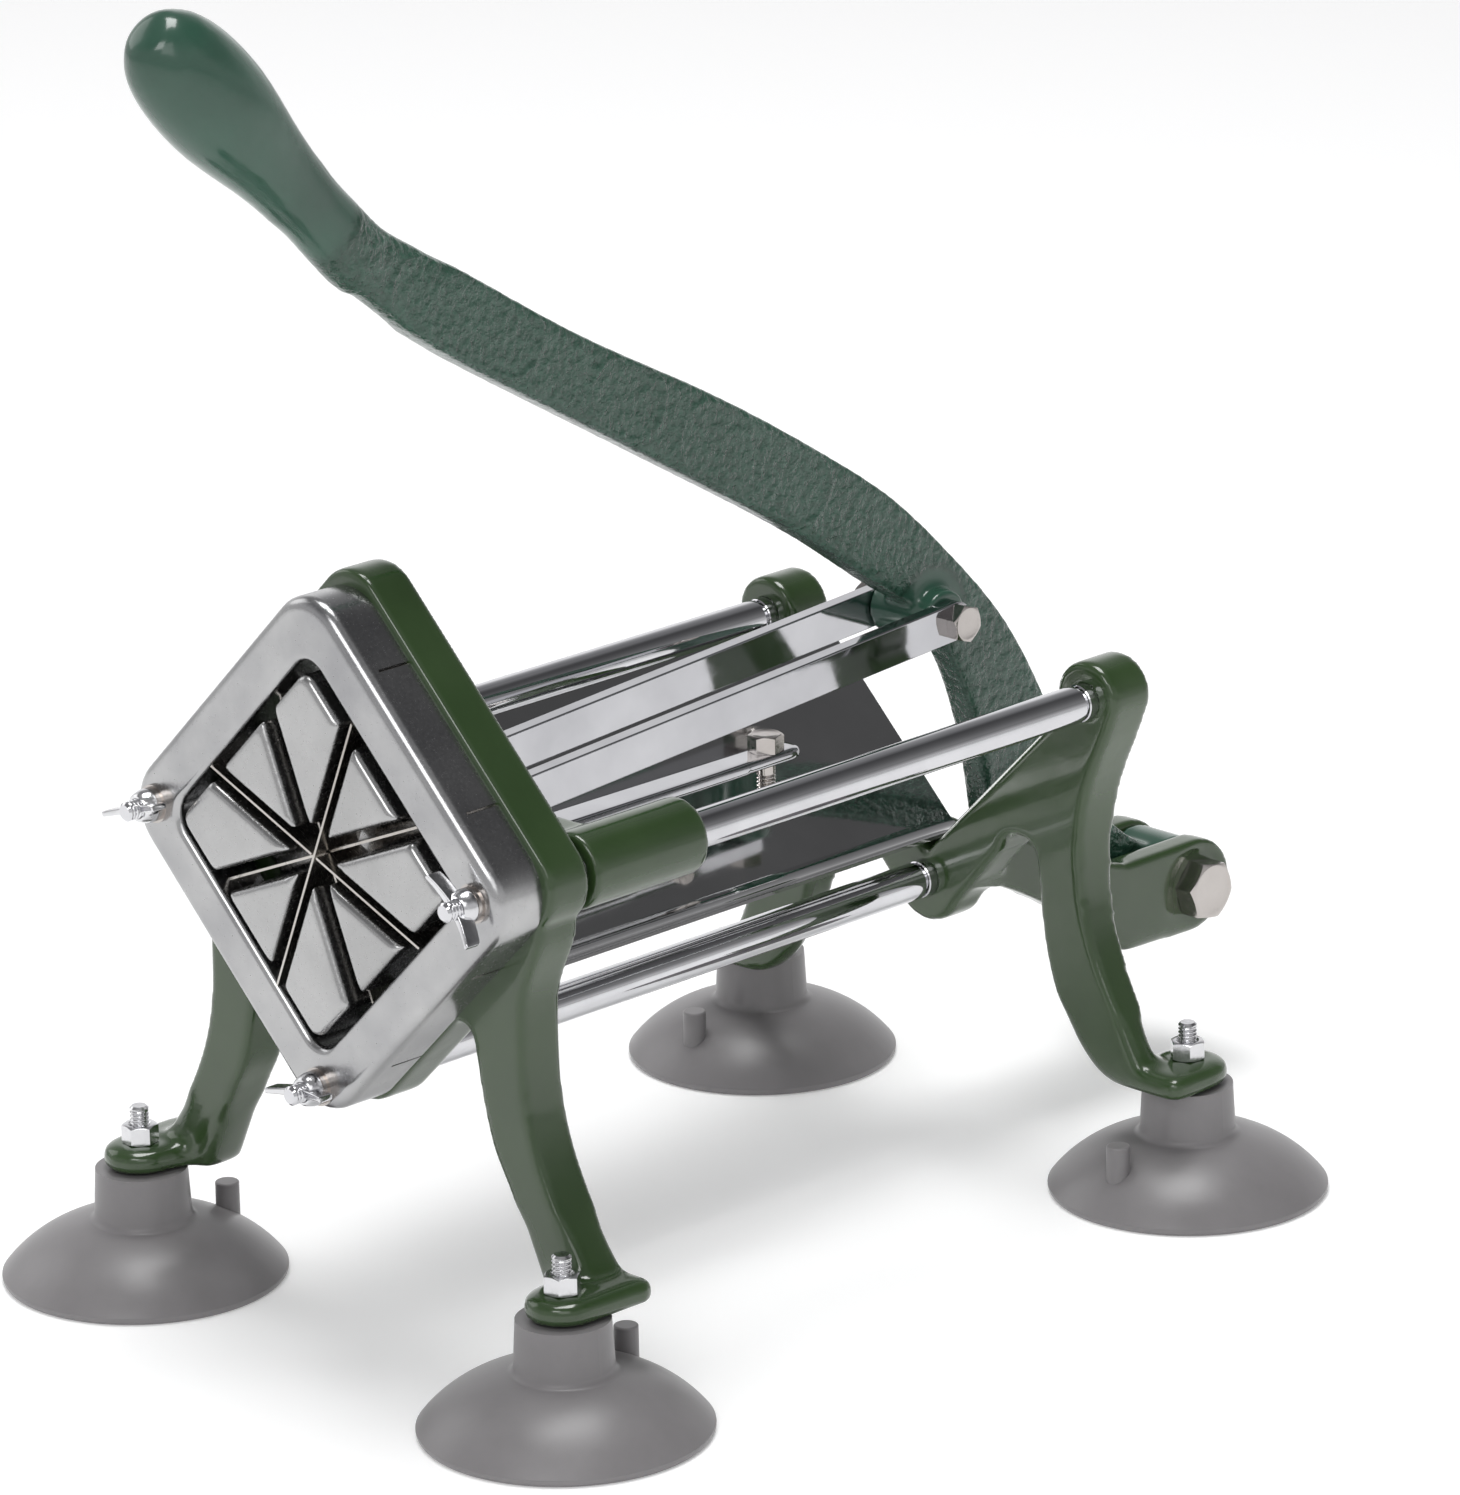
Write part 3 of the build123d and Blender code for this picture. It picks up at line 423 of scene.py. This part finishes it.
# ---------------------------------------------------------------- rods
ROD_RADIUS = 6.0 * MM
ROD_STUD_RADIUS = 3.0 * MM
ROD_STUD_LENGTH = 47.1 * MM
ROD_THREAD_LENGTH = 13.0 * MM
ROD_TAIL_LENGTH = 14.0 * MM
ROD_TAIL_RADIUS = 5.0 * MM
ROD_COLLAR = 3.6 * MM
ROD_GROOVE_WIDTH = 1.4 * MM
ROD_GROOVE_RADIUS = 4.7 * MM
ROD_EDGE = 0.35 * MM
ROD_SEGMENTS = 64
STUD_PITCH = 1.25 * MM
STUD_CHAMFER = 0.7 * MM


def guide_rod(node):
    """Chromed rod: threaded stud, ground bar, groove and collar, and the tail in its boss."""
    low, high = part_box(node)
    length = high[1] - low[1]
    collar_end = length - ROD_TAIL_LENGTH
    groove_end = collar_end - ROD_COLLAR
    groove_start = groove_end - ROD_GROOVE_WIDTH
    rings = [flat_ring(ROD_STUD_RADIUS - STUD_CHAMFER, 0.0)]
    rings += thread_rings(STUD_CHAMFER, ROD_THREAD_LENGTH, ROD_STUD_RADIUS, STUD_PITCH)
    for radius, height in (
        (ROD_STUD_RADIUS, ROD_STUD_LENGTH),
        (ROD_RADIUS, ROD_STUD_LENGTH),
        (ROD_RADIUS, groove_start - ROD_EDGE),
        (ROD_RADIUS - ROD_EDGE, groove_start),
        (ROD_GROOVE_RADIUS, groove_start),
        (ROD_GROOVE_RADIUS, groove_end),
        (ROD_RADIUS - ROD_EDGE, groove_end),
        (ROD_RADIUS, groove_end + ROD_EDGE),
        (ROD_RADIUS, collar_end),
        (ROD_TAIL_RADIUS, collar_end),
        (ROD_TAIL_RADIUS, length),
    ):
        rings.append(flat_ring(radius, height))
    origin = ((low[0] + high[0]) / 2, low[1], (low[2] + high[2]) / 2)
    solid = (*turned(rings, ROD_SEGMENTS), facing(origin, (0, 1, 0)))
    piece = gather(node + "_ground", [solid], CHROME)
    stand_for(piece, "base", "chrome", node)


# ---------------------------------------------------------------- feet
FOOT_STUD_RADIUS = 3.0 * MM
FOOT_THREAD = 13.0 * MM
FOOT_NUT_FLATS = 10.0 * MM
FOOT_NUT_HEIGHT = 6.0 * MM
FOOT_STUD_SEGMENTS = 40
CORNERS = ("fl", "fr", "rl", "rr")
FOOT_NUT_TURNS = (20.0, 35.0, 10.0, 50.0)  # degrees


def foot_hardware():
    """Threaded studs standing in the cups' necks, and the nuts that clamp the frames' pads."""
    stud_low, stud_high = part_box("foot_studs")
    nut_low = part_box("foot_nuts")[0]
    studs = []
    nuts = []
    length = stud_high[2] - stud_low[2]
    rings = [flat_ring(FOOT_STUD_RADIUS, 0.0)]
    thread = (length - FOOT_THREAD, length - STUD_CHAMFER)
    rings += thread_rings(*thread, FOOT_STUD_RADIUS, STUD_PITCH)
    rings.append(flat_ring(FOOT_STUD_RADIUS - STUD_CHAMFER, length))
    stud = turned(rings, FOOT_STUD_SEGMENTS)
    nut = hex_nut(FOOT_NUT_FLATS, FOOT_NUT_HEIGHT, FOOT_STUD_RADIUS)
    for corner, spin in zip(CORNERS, FOOT_NUT_TURNS):
        x, y = foot_place(corner)
        studs.append((*stud, facing((x, y, stud_low[2]), (0, 0, 1))))
        nuts.append((*nut, facing((x, y, nut_low[2]), (0, 0, 1), radians(spin))))
    stand_for(gather("foot_studs_threaded", studs, ZINC), "base", "nickel", "foot_studs")
    stand_for(gather("foot_nuts_turned", nuts, ZINC), "base", "nickel", "foot_nuts")


def foot_place(corner):
    """Middle of a suction cup."""
    low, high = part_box("suction_cup_" + corner)
    return (low[0] + high[0]) / 2, (low[1] + high[1]) / 2


# ---------------------------------------------------------------- wing nuts
WING_HUB_RADIUS = 5.3 * MM
WING_HUB_TOP = 4.4 * MM
WING_HUB_HEIGHT = 4.6 * MM
WING_REACH = 12.4 * MM
WING_HEIGHT = 5.6 * MM
WING_THICKNESS = 2.3 * MM
WING_START = 0.5 * MM
WING_LIFT = 2.6 * MM
WING_ROUND = 0.55 * MM
WING_ROUND_SHARE = 0.9
WING_CORNER_POINTS = 6
WING_SHARP_ANGLE = radians(40)
WING_TURNS = {"left": -16.0, "right": 49.0, "bottom": -6.5}  # degrees
# (share of the reach, share of the thickness, share of the height)
WING_STATIONS = (
    (0.16, 1.12, 1.0),
    (0.42, 0.98, 1.0),
    (0.70, 0.86, 1.0),
    (0.90, 0.80, 1.0),
    (0.97, 0.78, 0.98),
    (0.995, 0.72, 0.90),
    (1.0, 0.60, 0.80),
)
# (radius, height)
HUB_PROFILE = (
    (ROD_STUD_RADIUS, 0.0),
    (WING_HUB_RADIUS - 0.4 * MM, 0.0),
    (WING_HUB_RADIUS, 0.4 * MM),
    (WING_HUB_RADIUS, 1.2 * MM),
    (WING_HUB_RADIUS - 0.3 * MM, 2.4 * MM),
    (WING_HUB_TOP, WING_HUB_HEIGHT - 0.5 * MM),
    (WING_HUB_TOP - 0.5 * MM, WING_HUB_HEIGHT),
    (ROD_STUD_RADIUS + 0.25 * MM, WING_HUB_HEIGHT),
    (ROD_STUD_RADIUS, WING_HUB_HEIGHT - 0.3 * MM),
)
HUB_SEGMENTS = 48


def wing():
    """One square-ended wing: a rounded plate that leaves the hub and rises towards its end."""
    profile = []
    for sx, sz in ((1, 1), (-1, 1), (-1, -1), (1, -1)):
        start = atan2(sz, sx) - pi / 4
        for k in range(WING_CORNER_POINTS):
            angle = start + pi / 2 * k / (WING_CORNER_POINTS - 1)
            profile.append((sx, sz, cos(angle), sin(angle)))
    vertices = []
    for reach, thick, tall in WING_STATIONS:
        half_thick = WING_THICKNESS / 2 * thick
        half_tall = WING_HEIGHT / 2 * tall
        round_off = min(WING_ROUND, half_thick * WING_ROUND_SHARE)
        rise = WING_HEIGHT / 2 + WING_START + WING_LIFT * reach * reach
        for sx, sz, dx, dz in profile:
            across = sx * (half_thick - round_off) + dx * round_off
            along = sz * (half_tall - round_off) + dz * round_off
            vertices.append(Vector((WING_REACH * reach, across, rise + along)))
    return vertices, skin(len(WING_STATIONS), len(profile))


def wing_nut(side):
    """Conical hub with two square-ended wings."""
    node = "wing_nut_" + side
    rod_low, rod_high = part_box("guide_rod_" + side)
    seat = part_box(node)[1][1]
    origin = ((rod_low[0] + rod_high[0]) / 2, seat, (rod_low[2] + rod_high[2]) / 2)
    rings = [flat_ring(radius, height) for radius, height in HUB_PROFILE]
    hub = turned(rings, HUB_SEGMENTS, closed=True)
    spin = Matrix.Rotation(radians(WING_TURNS[side]), 4, "Y")
    out = Matrix.Translation(origin) @ spin @ Matrix.Rotation(pi / 2, 4, "X")
    solids = [(*hub, out), (*wing(), out), (*wing(), out @ Matrix.Rotation(pi, 4, "Z"))]
    piece = gather("wing_nut_%s_formed" % side, solids, ZINC, WING_SHARP_ANGLE)
    stand_for(piece, node, "nickel", node)


# ---------------------------------------------------------------- bolts
LINK_FLATS = 11.0 * MM
LINK_HEAD = 4.5 * MM
LINK_NUT = 5.0 * MM
LINK_PIN_RADIUS = 3.0 * MM
LINK_THREAD = 8.0 * MM
PIVOT_FLATS = 18.0 * MM
PIVOT_HEAD = 7.5 * MM
PIVOT_NUT = 10.0 * MM
PIVOT_RADIUS = 6.0 * MM
PIVOT_PITCH = 1.75 * MM
PIVOT_THREAD = 12.0 * MM
BOLT_SEGMENTS = 56
SCREW_REACH = 4.9 * MM
SCREW_TURN = 8.0
SCREW_SEGMENTS = 32
STOP_FLATS = 10.0 * MM
STOP_HEAD = 5.5 * MM
STOP_RADIUS = 3.0 * MM
STOP_THREAD = 7.0 * MM
STOP_TURN = 15.0
STOP_SEGMENTS = 40


def cross_bolt(node, body, flats, head, radius, pitch, thread, spin):
    """Bolt along X: turned hex head on the right, thread at the left end."""
    low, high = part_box(node)
    middle = ((low[1] + high[1]) / 2, (low[2] + high[2]) / 2)
    seat = high[0] - head
    length = seat - low[0]
    rings = [flat_ring(radius - STUD_CHAMFER, 0.0)]
    rings += thread_rings(STUD_CHAMFER, thread, radius, pitch)
    rings.append(flat_ring(radius, length + HEAD_OVERLAP * head))
    solids = [
        (*turned(rings, BOLT_SEGMENTS), facing((low[0], *middle), (1, 0, 0))),
        (*bolt_head(flats, head), facing((seat, *middle), (1, 0, 0), radians(spin))),
    ]
    stand_for(gather(node + "_turned", solids, NICKEL), body, "nickel", node)


def cross_nut(node, body, flats, height, bore, spin):
    """Nut on the left end of a bolt along X."""
    low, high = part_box(node)
    origin = (high[0], (low[1] + high[1]) / 2, (low[2] + high[2]) / 2)
    solid = (*hex_nut(flats, height, bore), facing(origin, (-1, 0, 0), radians(spin)))
    stand_for(gather(node + "_turned", [solid], NICKEL), body, "nickel", node)


def front_screws():
    """Two hex screws that pin the links to the ram."""
    low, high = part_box("link_front_screws")
    middle = ((low[1] + high[1]) / 2, (low[2] + high[2]) / 2)
    ends = (-SCREW_REACH, HEAD_OVERLAP * LINK_HEAD)
    shank = turned([flat_ring(LINK_PIN_RADIUS, end) for end in ends], SCREW_SEGMENTS)
    solids = []
    for edge, side in ((low[0], -1), (high[0], 1)):
        place = facing((edge - side * LINK_HEAD, *middle), (side, 0, 0), radians(SCREW_TURN))
        solids += [(*bolt_head(LINK_FLATS, LINK_HEAD), place), (*shank, place)]
    piece = gather("link_front_screws_turned", solids, NICKEL)
    stand_for(piece, "links", "nickel", "link_front_screws")


def stop_bolt():
    """Hex bolt standing in the end of the tongue."""
    low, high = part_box("stop_bolt")
    x, y = (low[0] + high[0]) / 2, (low[1] + high[1]) / 2
    seat = high[2] - STOP_HEAD
    rings = [flat_ring(STOP_RADIUS - STUD_CHAMFER, 0.0)]
    rings += thread_rings(STUD_CHAMFER, STOP_THREAD, STOP_RADIUS, STUD_PITCH)
    rings.append(flat_ring(STOP_RADIUS, seat - low[2] + HEAD_OVERLAP * STOP_HEAD))
    solids = [
        (*turned(rings, STOP_SEGMENTS), facing((x, y, low[2]), (0, 0, 1))),
        (*bolt_head(STOP_FLATS, STOP_HEAD), facing((x, y, seat), (0, 0, 1), radians(STOP_TURN))),
    ]
    stand_for(gather("stop_bolt_turned", solids, NICKEL), "ram", "nickel", "stop_bolt")


# ---------------------------------------------------------------- castings
# For the frames, the ram, the head and the lever, a length without MM is a number of
# millimetres, and a pair says where an effect starts and ends.
RELAX = 0.5


def even_grid(node, voxel):
    """The CAD node's surface as an even grid of quads, in the part's frame."""
    source = nodes[node]
    copy = bpy.data.objects.new(node + "_grid", source.data.copy())
    bpy.context.scene.collection.objects.link(copy)
    remesh = copy.modifiers.new("grid", "REMESH")
    remesh.mode = "VOXEL"
    remesh.voxel_size = voxel
    graph = bpy.context.evaluated_depsgraph_get()
    mesh = bpy.data.meshes.new_from_object(copy.evaluated_get(graph), depsgraph=graph)
    mesh.transform(source.matrix_world)
    bpy.data.objects.remove(copy)
    return mesh


def vectors(items, key):
    """One vector per item as the rows of an array."""
    flat = np.empty(3 * len(items))
    items.foreach_get(key, flat)
    return flat.reshape(-1, 3)


def edge_ends(mesh):
    """First and second vertex of every edge."""
    ends = np.empty(2 * len(mesh.edges), dtype=int)
    mesh.edges.foreach_get("vertices", ends)
    return ends.reshape(-1, 2).T


def relax(points, ends, weight, rounds):
    """Moves every point towards the middle of its neighbours, by its weight."""
    first, second = ends
    size = len(points)
    neighbours = np.bincount(first, minlength=size) + np.bincount(second, minlength=size)
    for _ in range(rounds):
        middle = np.empty_like(points)
        for axis in range(3):
            total = np.bincount(first, points[second, axis], size)
            total += np.bincount(second, points[first, axis], size)
            middle[:, axis] = total / neighbours
        points = points + weight[:, None] * (middle - points)
    return points


def ease(value, start, end):
    """0 at start and before, 1 at end and after, smooth between."""
    share = np.clip((value - start) / (end - start), 0.0, 1.0)
    return share * share * (3.0 - 2.0 * share)


def window(value, start, end, margin):
    """1 between start and end, fading to 0 over the margin outside them."""
    return ease(value, start - margin, start) * (1.0 - ease(value, end, end + margin))


def place_points(mesh, points):
    """Moves the mesh's vertices to the points."""
    mesh.vertices.foreach_set("co", points.ravel())
    mesh.update()


def casting(name, mesh, material, body, slot, node):
    """Finishes a grid mesh as the smooth shaded piece that stands for its node."""
    mesh.materials.clear()
    mesh.materials.append(material)
    mesh.polygons.foreach_set("use_smooth", [True] * len(mesh.polygons))
    mesh.name = name
    piece = bpy.data.objects.new(name, mesh)
    bpy.context.scene.collection.objects.link(piece)
    stand_for(piece, body, slot, node)


# ---------------------------------------------------------------- frames
FRAME_VOXEL = 1.2 * MM
FRAME_ROUNDS = 4
FOOT_ROUNDS = 26
FOOT_BLEND = (52.0, 62.0)
FOOT_HOLE = (6.5, 9.5)


def frame_casting(node):
    """Painted frame: edges softened, legs blended into the pads, the nuts' seats kept flat."""
    mesh = even_grid(node, FRAME_VOXEL)
    ends = edge_ends(mesh)
    points = vectors(mesh.vertices, "co")
    keep = np.ones(len(points))
    for x, y in map(foot_place, CORNERS):
        distance = np.hypot(points[:, 0] - x, points[:, 1] - y) / MM
        keep = np.minimum(keep, ease(distance, *FOOT_HOLE))
    points = relax(points, ends, RELAX * keep, FRAME_ROUNDS)
    foot = 1.0 - ease(points[:, 2] / MM, *FOOT_BLEND)
    points = relax(points, ends, RELAX * keep * foot, FOOT_ROUNDS)
    place_points(mesh, points)
    casting(node + "_cast", mesh, GREEN, "base", "green_paint", node)


# ---------------------------------------------------------------- ram and pusher head
RAM_VOXEL = 0.9 * MM
RAM_ROUNDS = 4
HEAD_VOXEL = 0.8 * MM
HEAD_ROUNDS = 10
TONGUE_START = -114.2
TONGUE_HALF = 8.4
TONGUE_HEIGHTS = (142.8, 147.6)


def softened(node, voxel, rounds):
    """The CAD node's grid with its sharp edges rounded over."""
    mesh = even_grid(node, voxel)
    points = vectors(mesh.vertices, "co")
    place_points(mesh, relax(points, edge_ends(mesh), np.full(len(points), RELAX), rounds))
    return mesh


def ram_casting():
    """Painted ram whose long tongue is left as bare plated metal."""
    mesh = softened("ram", RAM_VOXEL, RAM_ROUNDS)
    casting("ram_casting", mesh, GREEN, "ram", "green_paint", "ram")
    # The tongue takes the darker chrome, whose colour carries painted shade.
    mesh.materials.append(SHADED_CHROME)
    x, y, z = (vectors(mesh.polygons, "center") / MM).T
    low, high = TONGUE_HEIGHTS
    bare = (y > TONGUE_START) & (np.abs(x) < TONGUE_HALF) & (z > low) & (z < high)
    mesh.polygons.foreach_set("material_index", bare.astype(int))


def pusher_head():
    """Cast eight-segment head with rounded segment edges."""
    mesh = softened("pusher_head", HEAD_VOXEL, HEAD_ROUNDS)
    casting("pusher_head_cast", mesh, HEAD, "ram", "head_aluminium", "pusher_head")


# ---------------------------------------------------------------- lever
LEVER_VOXEL = 0.85 * MM
PIVOT = Vector(joint_of["lever_swing"]["pos_m"])
LINK_HOLE = Vector(joint_of["link_swing"]["pos_m"]) - PIVOT
# GRIP_CENTRE and BAR_ORIGIN are (y, z) from the pivot. GRIP_TIP, GRIP_NECK, BAR_START and
# SEAM_PLACE are distances along the grip, and BORDER_SPANS along the bar. HOLE_RIM and what
# is named after the pivot or the link are distances from those holes.
GRIP_CENTRE = (-400.0, 334.0)
GRIP_SLOPE = radians(46.4)
GRIP_TIP = (-30.0, -23.0)
GRIP_NECK = (56.0, 100.0)
NECK_FADE = 12.0
BAR_ORIGIN = (-320.8, 260.4)
BAR_SLOPE = atan2(0.51, 0.86)
BAR_START = (60.0, 74.0)
OFF_BAR_WEIGHT = 0.2
SEAM_PLACE = 67.0
SEAM_HEIGHT = 0.35
SEAM_WIDTH = 0.8
HOLE_RIM = (8.0, 10.0)
PIVOT_CLEAR = (18.0, 26.0)
LINK_CLEAR = (13.0, 18.0)
PIVOT_HUB = (12.0, 19.0)
PIVOT_HUB_FADE = 3.0
PIVOT_HUB_HALF = 8.0
LINK_BOSS = (9.5, 15.0)
LINK_BOSS_FADE = 2.0
LINK_BOSS_HALF = 12.0
EDGE_ROUNDS = 14
TIP_ROUNDS = 60
NECK_ROUNDS = 90
BOSS_ROUNDS = 14
BORDER_SPANS = ((-18.0, 49.0), (75.0, 108.0), (118.0, 190.0))
BORDER_RADIUS = 11.5
BORDER_HEIGHT = 0.55
BORDER_WIDTH = 0.75
HAMMER_DEPTH = 0.6
HAMMER_SCALE = 340.0
HAMMER_FRACTAL = (0.7, 2.1, 3)
HAMMER_GAIN = 0.75
HAMMER_ON_EDGES = 0.25
SIDE_NORMAL = (0.6, 0.9)


def along_across(y, z, origin, slope):
    """Distances along and across a line that falls rearward at a slope."""
    along = (y - origin[0]) * cos(slope) - (z - origin[1]) * sin(slope)
    across = (y - origin[0]) * sin(slope) + (z - origin[1]) * cos(slope)
    return along, across


def border_relief(along, across):
    """Height of the round-ended raised borders, whose fields are left bare."""
    relief = np.zeros(len(along))
    for start, end in BORDER_SPANS:
        straight = (end - start) / 2 - BORDER_RADIUS
        beyond = np.maximum(np.abs(along - (start + end) / 2) - straight, 0.0)
        offset = np.hypot(beyond, across) - BORDER_RADIUS
        relief = np.maximum(relief, BORDER_HEIGHT * np.exp(-((offset / BORDER_WIDTH) ** 2)))
    return relief


def hammered(points):
    """Pebbled noise from 0 to 1 at each point."""
    values = [fractal(Vector(p) * HAMMER_SCALE, *HAMMER_FRACTAL) for p in points]
    return np.clip(0.5 + HAMMER_GAIN * np.array(values), 0.0, 1.0)


def lever_casting():
    """Cast lever: domed smooth grip, pebbled bar with raised borders, blended bosses."""
    mesh = even_grid("lever", LEVER_VOXEL)
    ends = edge_ends(mesh)
    points = vectors(mesh.vertices, "co")
    x, y, z = ((points - np.array(PIVOT)) / MM).T
    grip_along = along_across(y, z, GRIP_CENTRE, GRIP_SLOPE)[0]
    along, across = along_across(y, z, BAR_ORIGIN, BAR_SLOPE)
    from_pivot = np.hypot(y, z)
    from_link = np.hypot(y - LINK_HOLE.y / MM, z - LINK_HOLE.z / MM)
    keep = ease(from_pivot, *HOLE_RIM) * ease(from_link, *HOLE_RIM)
    bar = ease(grip_along, *BAR_START)
    bar = bar * ease(from_pivot, *PIVOT_CLEAR) * ease(from_link, *LINK_CLEAR)
    soft = OFF_BAR_WEIGHT + (1.0 - OFF_BAR_WEIGHT) * bar
    tip = 1.0 - ease(grip_along, *GRIP_TIP)
    neck = window(grip_along, *GRIP_NECK, NECK_FADE)
    boss = window(from_link, *LINK_BOSS, LINK_BOSS_FADE) * (np.abs(x) < LINK_BOSS_HALF)
    hub = window(from_pivot, *PIVOT_HUB, PIVOT_HUB_FADE) * (np.abs(x) < PIVOT_HUB_HALF)
    for weight, rounds in (
        (soft, EDGE_ROUNDS),
        (tip, TIP_ROUNDS),
        (neck, NECK_ROUNDS),
        (np.maximum(boss, hub), BOSS_ROUNDS),
    ):
        points = relax(points, ends, RELAX * keep * weight, rounds)
    place_points(mesh, points)
    normals = vectors(mesh.vertex_normals, "vector")
    side = ease(np.abs(normals[:, 0]), *SIDE_NORMAL)
    share = HAMMER_ON_EDGES + (1.0 - HAMMER_ON_EDGES) * side
    height = -HAMMER_DEPTH * bar * share * hammered(points)
    height += border_relief(along, across) * side * bar
    height += SEAM_HEIGHT * np.exp(-(((grip_along - SEAM_PLACE) / SEAM_WIDTH) ** 2)) * side
    place_points(mesh, points + normals * height[:, None] * MM)
    pebble = mesh.attributes.new(PEBBLE, "FLOAT", "POINT")
    pebble.data.foreach_set("value", bar)
    casting("lever_casting", mesh, LEVER, "lever", "lever_paint", "lever")


# ---------------------------------------------------------------- studio
# Lengths in metres, power in watts.
FLOOR_HALF = 12.0
FLOOR_COLOUR = (0.90, 0.90, 0.90, 1)
FLOOR_GLOW = 0.21
SKY_STRENGTH = 0.75
# (height from straight down to straight up, colour)
SKY = (
    (0.0, (0.90, 0.90, 0.90)),
    (0.68, (0.85, 0.85, 0.86)),
    (0.78, (0.50, 0.50, 0.51)),
    (0.86, (0.28, 0.28, 0.29)),
    (1.0, (0.45, 0.45, 0.45)),
)
BACKDROP_STRENGTH = 1.2
BACKDROP_SIDE = (-0.71, 0.70, 0.0)
BACKDROP_EDGE = (0.80, 0.95)
DARK_SIDE = (0.42, 0.72, 0.55)
DARK_EDGE = (0.82, 0.93)
DARK_SHARE = 0.38
LIGHT_AIM = Vector((0, 0, 0.12))
# (name, place, size, power)
LIGHTS = (
    ("key", (-2.7, -0.6, 1.7), 1.5, 8.0),
    ("fill", (2.2, -1.9, 2.0), 1.6, 11.0),
    ("edge", (0.9, -2.1, 2.2), 1.0, 14.0),
    ("top", (-0.25, 0.2, 3.0), 1.4, 54.0),
)


def towards(tree, direction, side):
    """How far a direction points to one side."""
    product = add(tree, "ShaderNodeVectorMath", operation="DOT_PRODUCT")
    product.inputs[1].default_value = side
    tree.links.new(direction, product.inputs[0])
    return product.outputs["Value"]


def floor_paper():
    """Pale matt floor that glows a little, so that it stays nearly white away from the lights."""
    mesh = bpy.data.meshes.new("floor")
    turns = ((-1, -1), (1, -1), (1, 1), (-1, 1))
    corners = [(FLOOR_HALF * sx, FLOOR_HALF * sy, 0) for sx, sy in turns]
    mesh.from_pydata(corners, [], [(0, 1, 2, 3)])
    floor = bpy.data.objects.new("floor", mesh)
    bpy.context.scene.collection.objects.link(floor)
    material, _, principled = shader("floor_paper")
    principled.inputs["Base Color"].default_value = FLOOR_COLOUR
    principled.inputs["Roughness"].default_value = 0.9
    principled.inputs["Specular IOR Level"].default_value = 0.0
    principled.inputs["Emission Color"].default_value = (1, 1, 1, 1)
    principled.inputs["Emission Strength"].default_value = FLOOR_GLOW
    mesh.materials.append(material)


def room():
    """World with a bright backdrop behind the object and an unlit part on the right."""
    world = bpy.data.worlds.new("studio")
    bpy.context.scene.world = world
    world.use_nodes = True
    tree = world.node_tree
    background = tree.nodes["Background"]
    direction = add(tree, "ShaderNodeTexCoord").outputs["Generated"]
    split = add(tree, "ShaderNodeSeparateXYZ")
    tree.links.new(direction, split.inputs["Vector"])
    height = remap(tree, split.outputs["Z"], low=0.0, high=1.0, start=-1.0, end=1.0)
    tree.links.new(ramp(tree, height, SKY), background.inputs["Color"])
    behind = towards(tree, direction, BACKDROP_SIDE)
    glow = remap(tree, behind, SKY_STRENGTH, BACKDROP_STRENGTH, *BACKDROP_EDGE)
    shade = remap(tree, towards(tree, direction, DARK_SIDE), 1.0, DARK_SHARE, *DARK_EDGE)
    tree.links.new(combine(tree, "MULTIPLY", glow, shade), background.inputs["Strength"])


def studio():
    """Floor, room and four soft lights."""
    scene = bpy.context.scene
    scene.view_settings.view_transform = "Standard"
    scene.view_settings.look = "None"
    floor_paper()
    room()
    for name, place, size, power in LIGHTS:
        light = bpy.data.lights.new(name, "AREA")
        light.shape = "SQUARE"
        light.size = size
        light.energy = power
        lamp = bpy.data.objects.new(name, light)
        lamp.location = place
        aim = LIGHT_AIM - Vector(place)
        lamp.rotation_euler = aim.to_track_quat("-Z", "Y").to_euler()
        scene.collection.objects.link(lamp)


def camera():
    """The camera of the reference view."""
    across = cos(VIEW_ELEVATION)
    back = Vector((sin(VIEW_AZIMUTH) * across, -cos(VIEW_AZIMUTH) * across, sin(VIEW_ELEVATION)))
    right = Vector((cos(VIEW_AZIMUTH), sin(VIEW_AZIMUTH), 0))
    up = back.cross(right)
    turned_right = right * cos(VIEW_ROLL) + up * sin(VIEW_ROLL)
    turned_up = up * cos(VIEW_ROLL) - right * sin(VIEW_ROLL)
    data = bpy.data.cameras.new("camera")
    data.sensor_fit = "HORIZONTAL"
    data.sensor_width = SENSOR_WIDTH
    data.lens = CAMERA_LENS
    data.clip_start = 0.1
    eye = bpy.data.objects.new("camera", data)
    matrix = Matrix((turned_right, turned_up, back)).transposed().to_4x4()
    matrix.translation = CAMERA_PLACE
    eye.matrix_world = matrix
    bpy.context.scene.collection.objects.link(eye)
    bpy.context.scene.camera = eye


camera()
dress_cad()
for side in WING_TURNS:
    guide_rod("guide_rod_" + side)
foot_hardware()
for side in WING_TURNS:
    wing_nut(side)
cross_bolt("link_bolt", "links", LINK_FLATS, LINK_HEAD, LINK_PIN_RADIUS,
           pitch=STUD_PITCH, thread=LINK_THREAD, spin=12)
cross_nut("link_nut", "links", LINK_FLATS, LINK_NUT, LINK_PIN_RADIUS, spin=5)
cross_bolt("pivot_bolt", "base", PIVOT_FLATS, PIVOT_HEAD, PIVOT_RADIUS,
           pitch=PIVOT_PITCH, thread=PIVOT_THREAD, spin=20)
cross_nut("pivot_nut", "base", PIVOT_FLATS, PIVOT_NUT, PIVOT_RADIUS, spin=10)
front_screws()
stop_bolt()
frame_casting("front_frame")
frame_casting("rear_frame")
ram_casting()
pusher_head()
lever_casting()
studio()
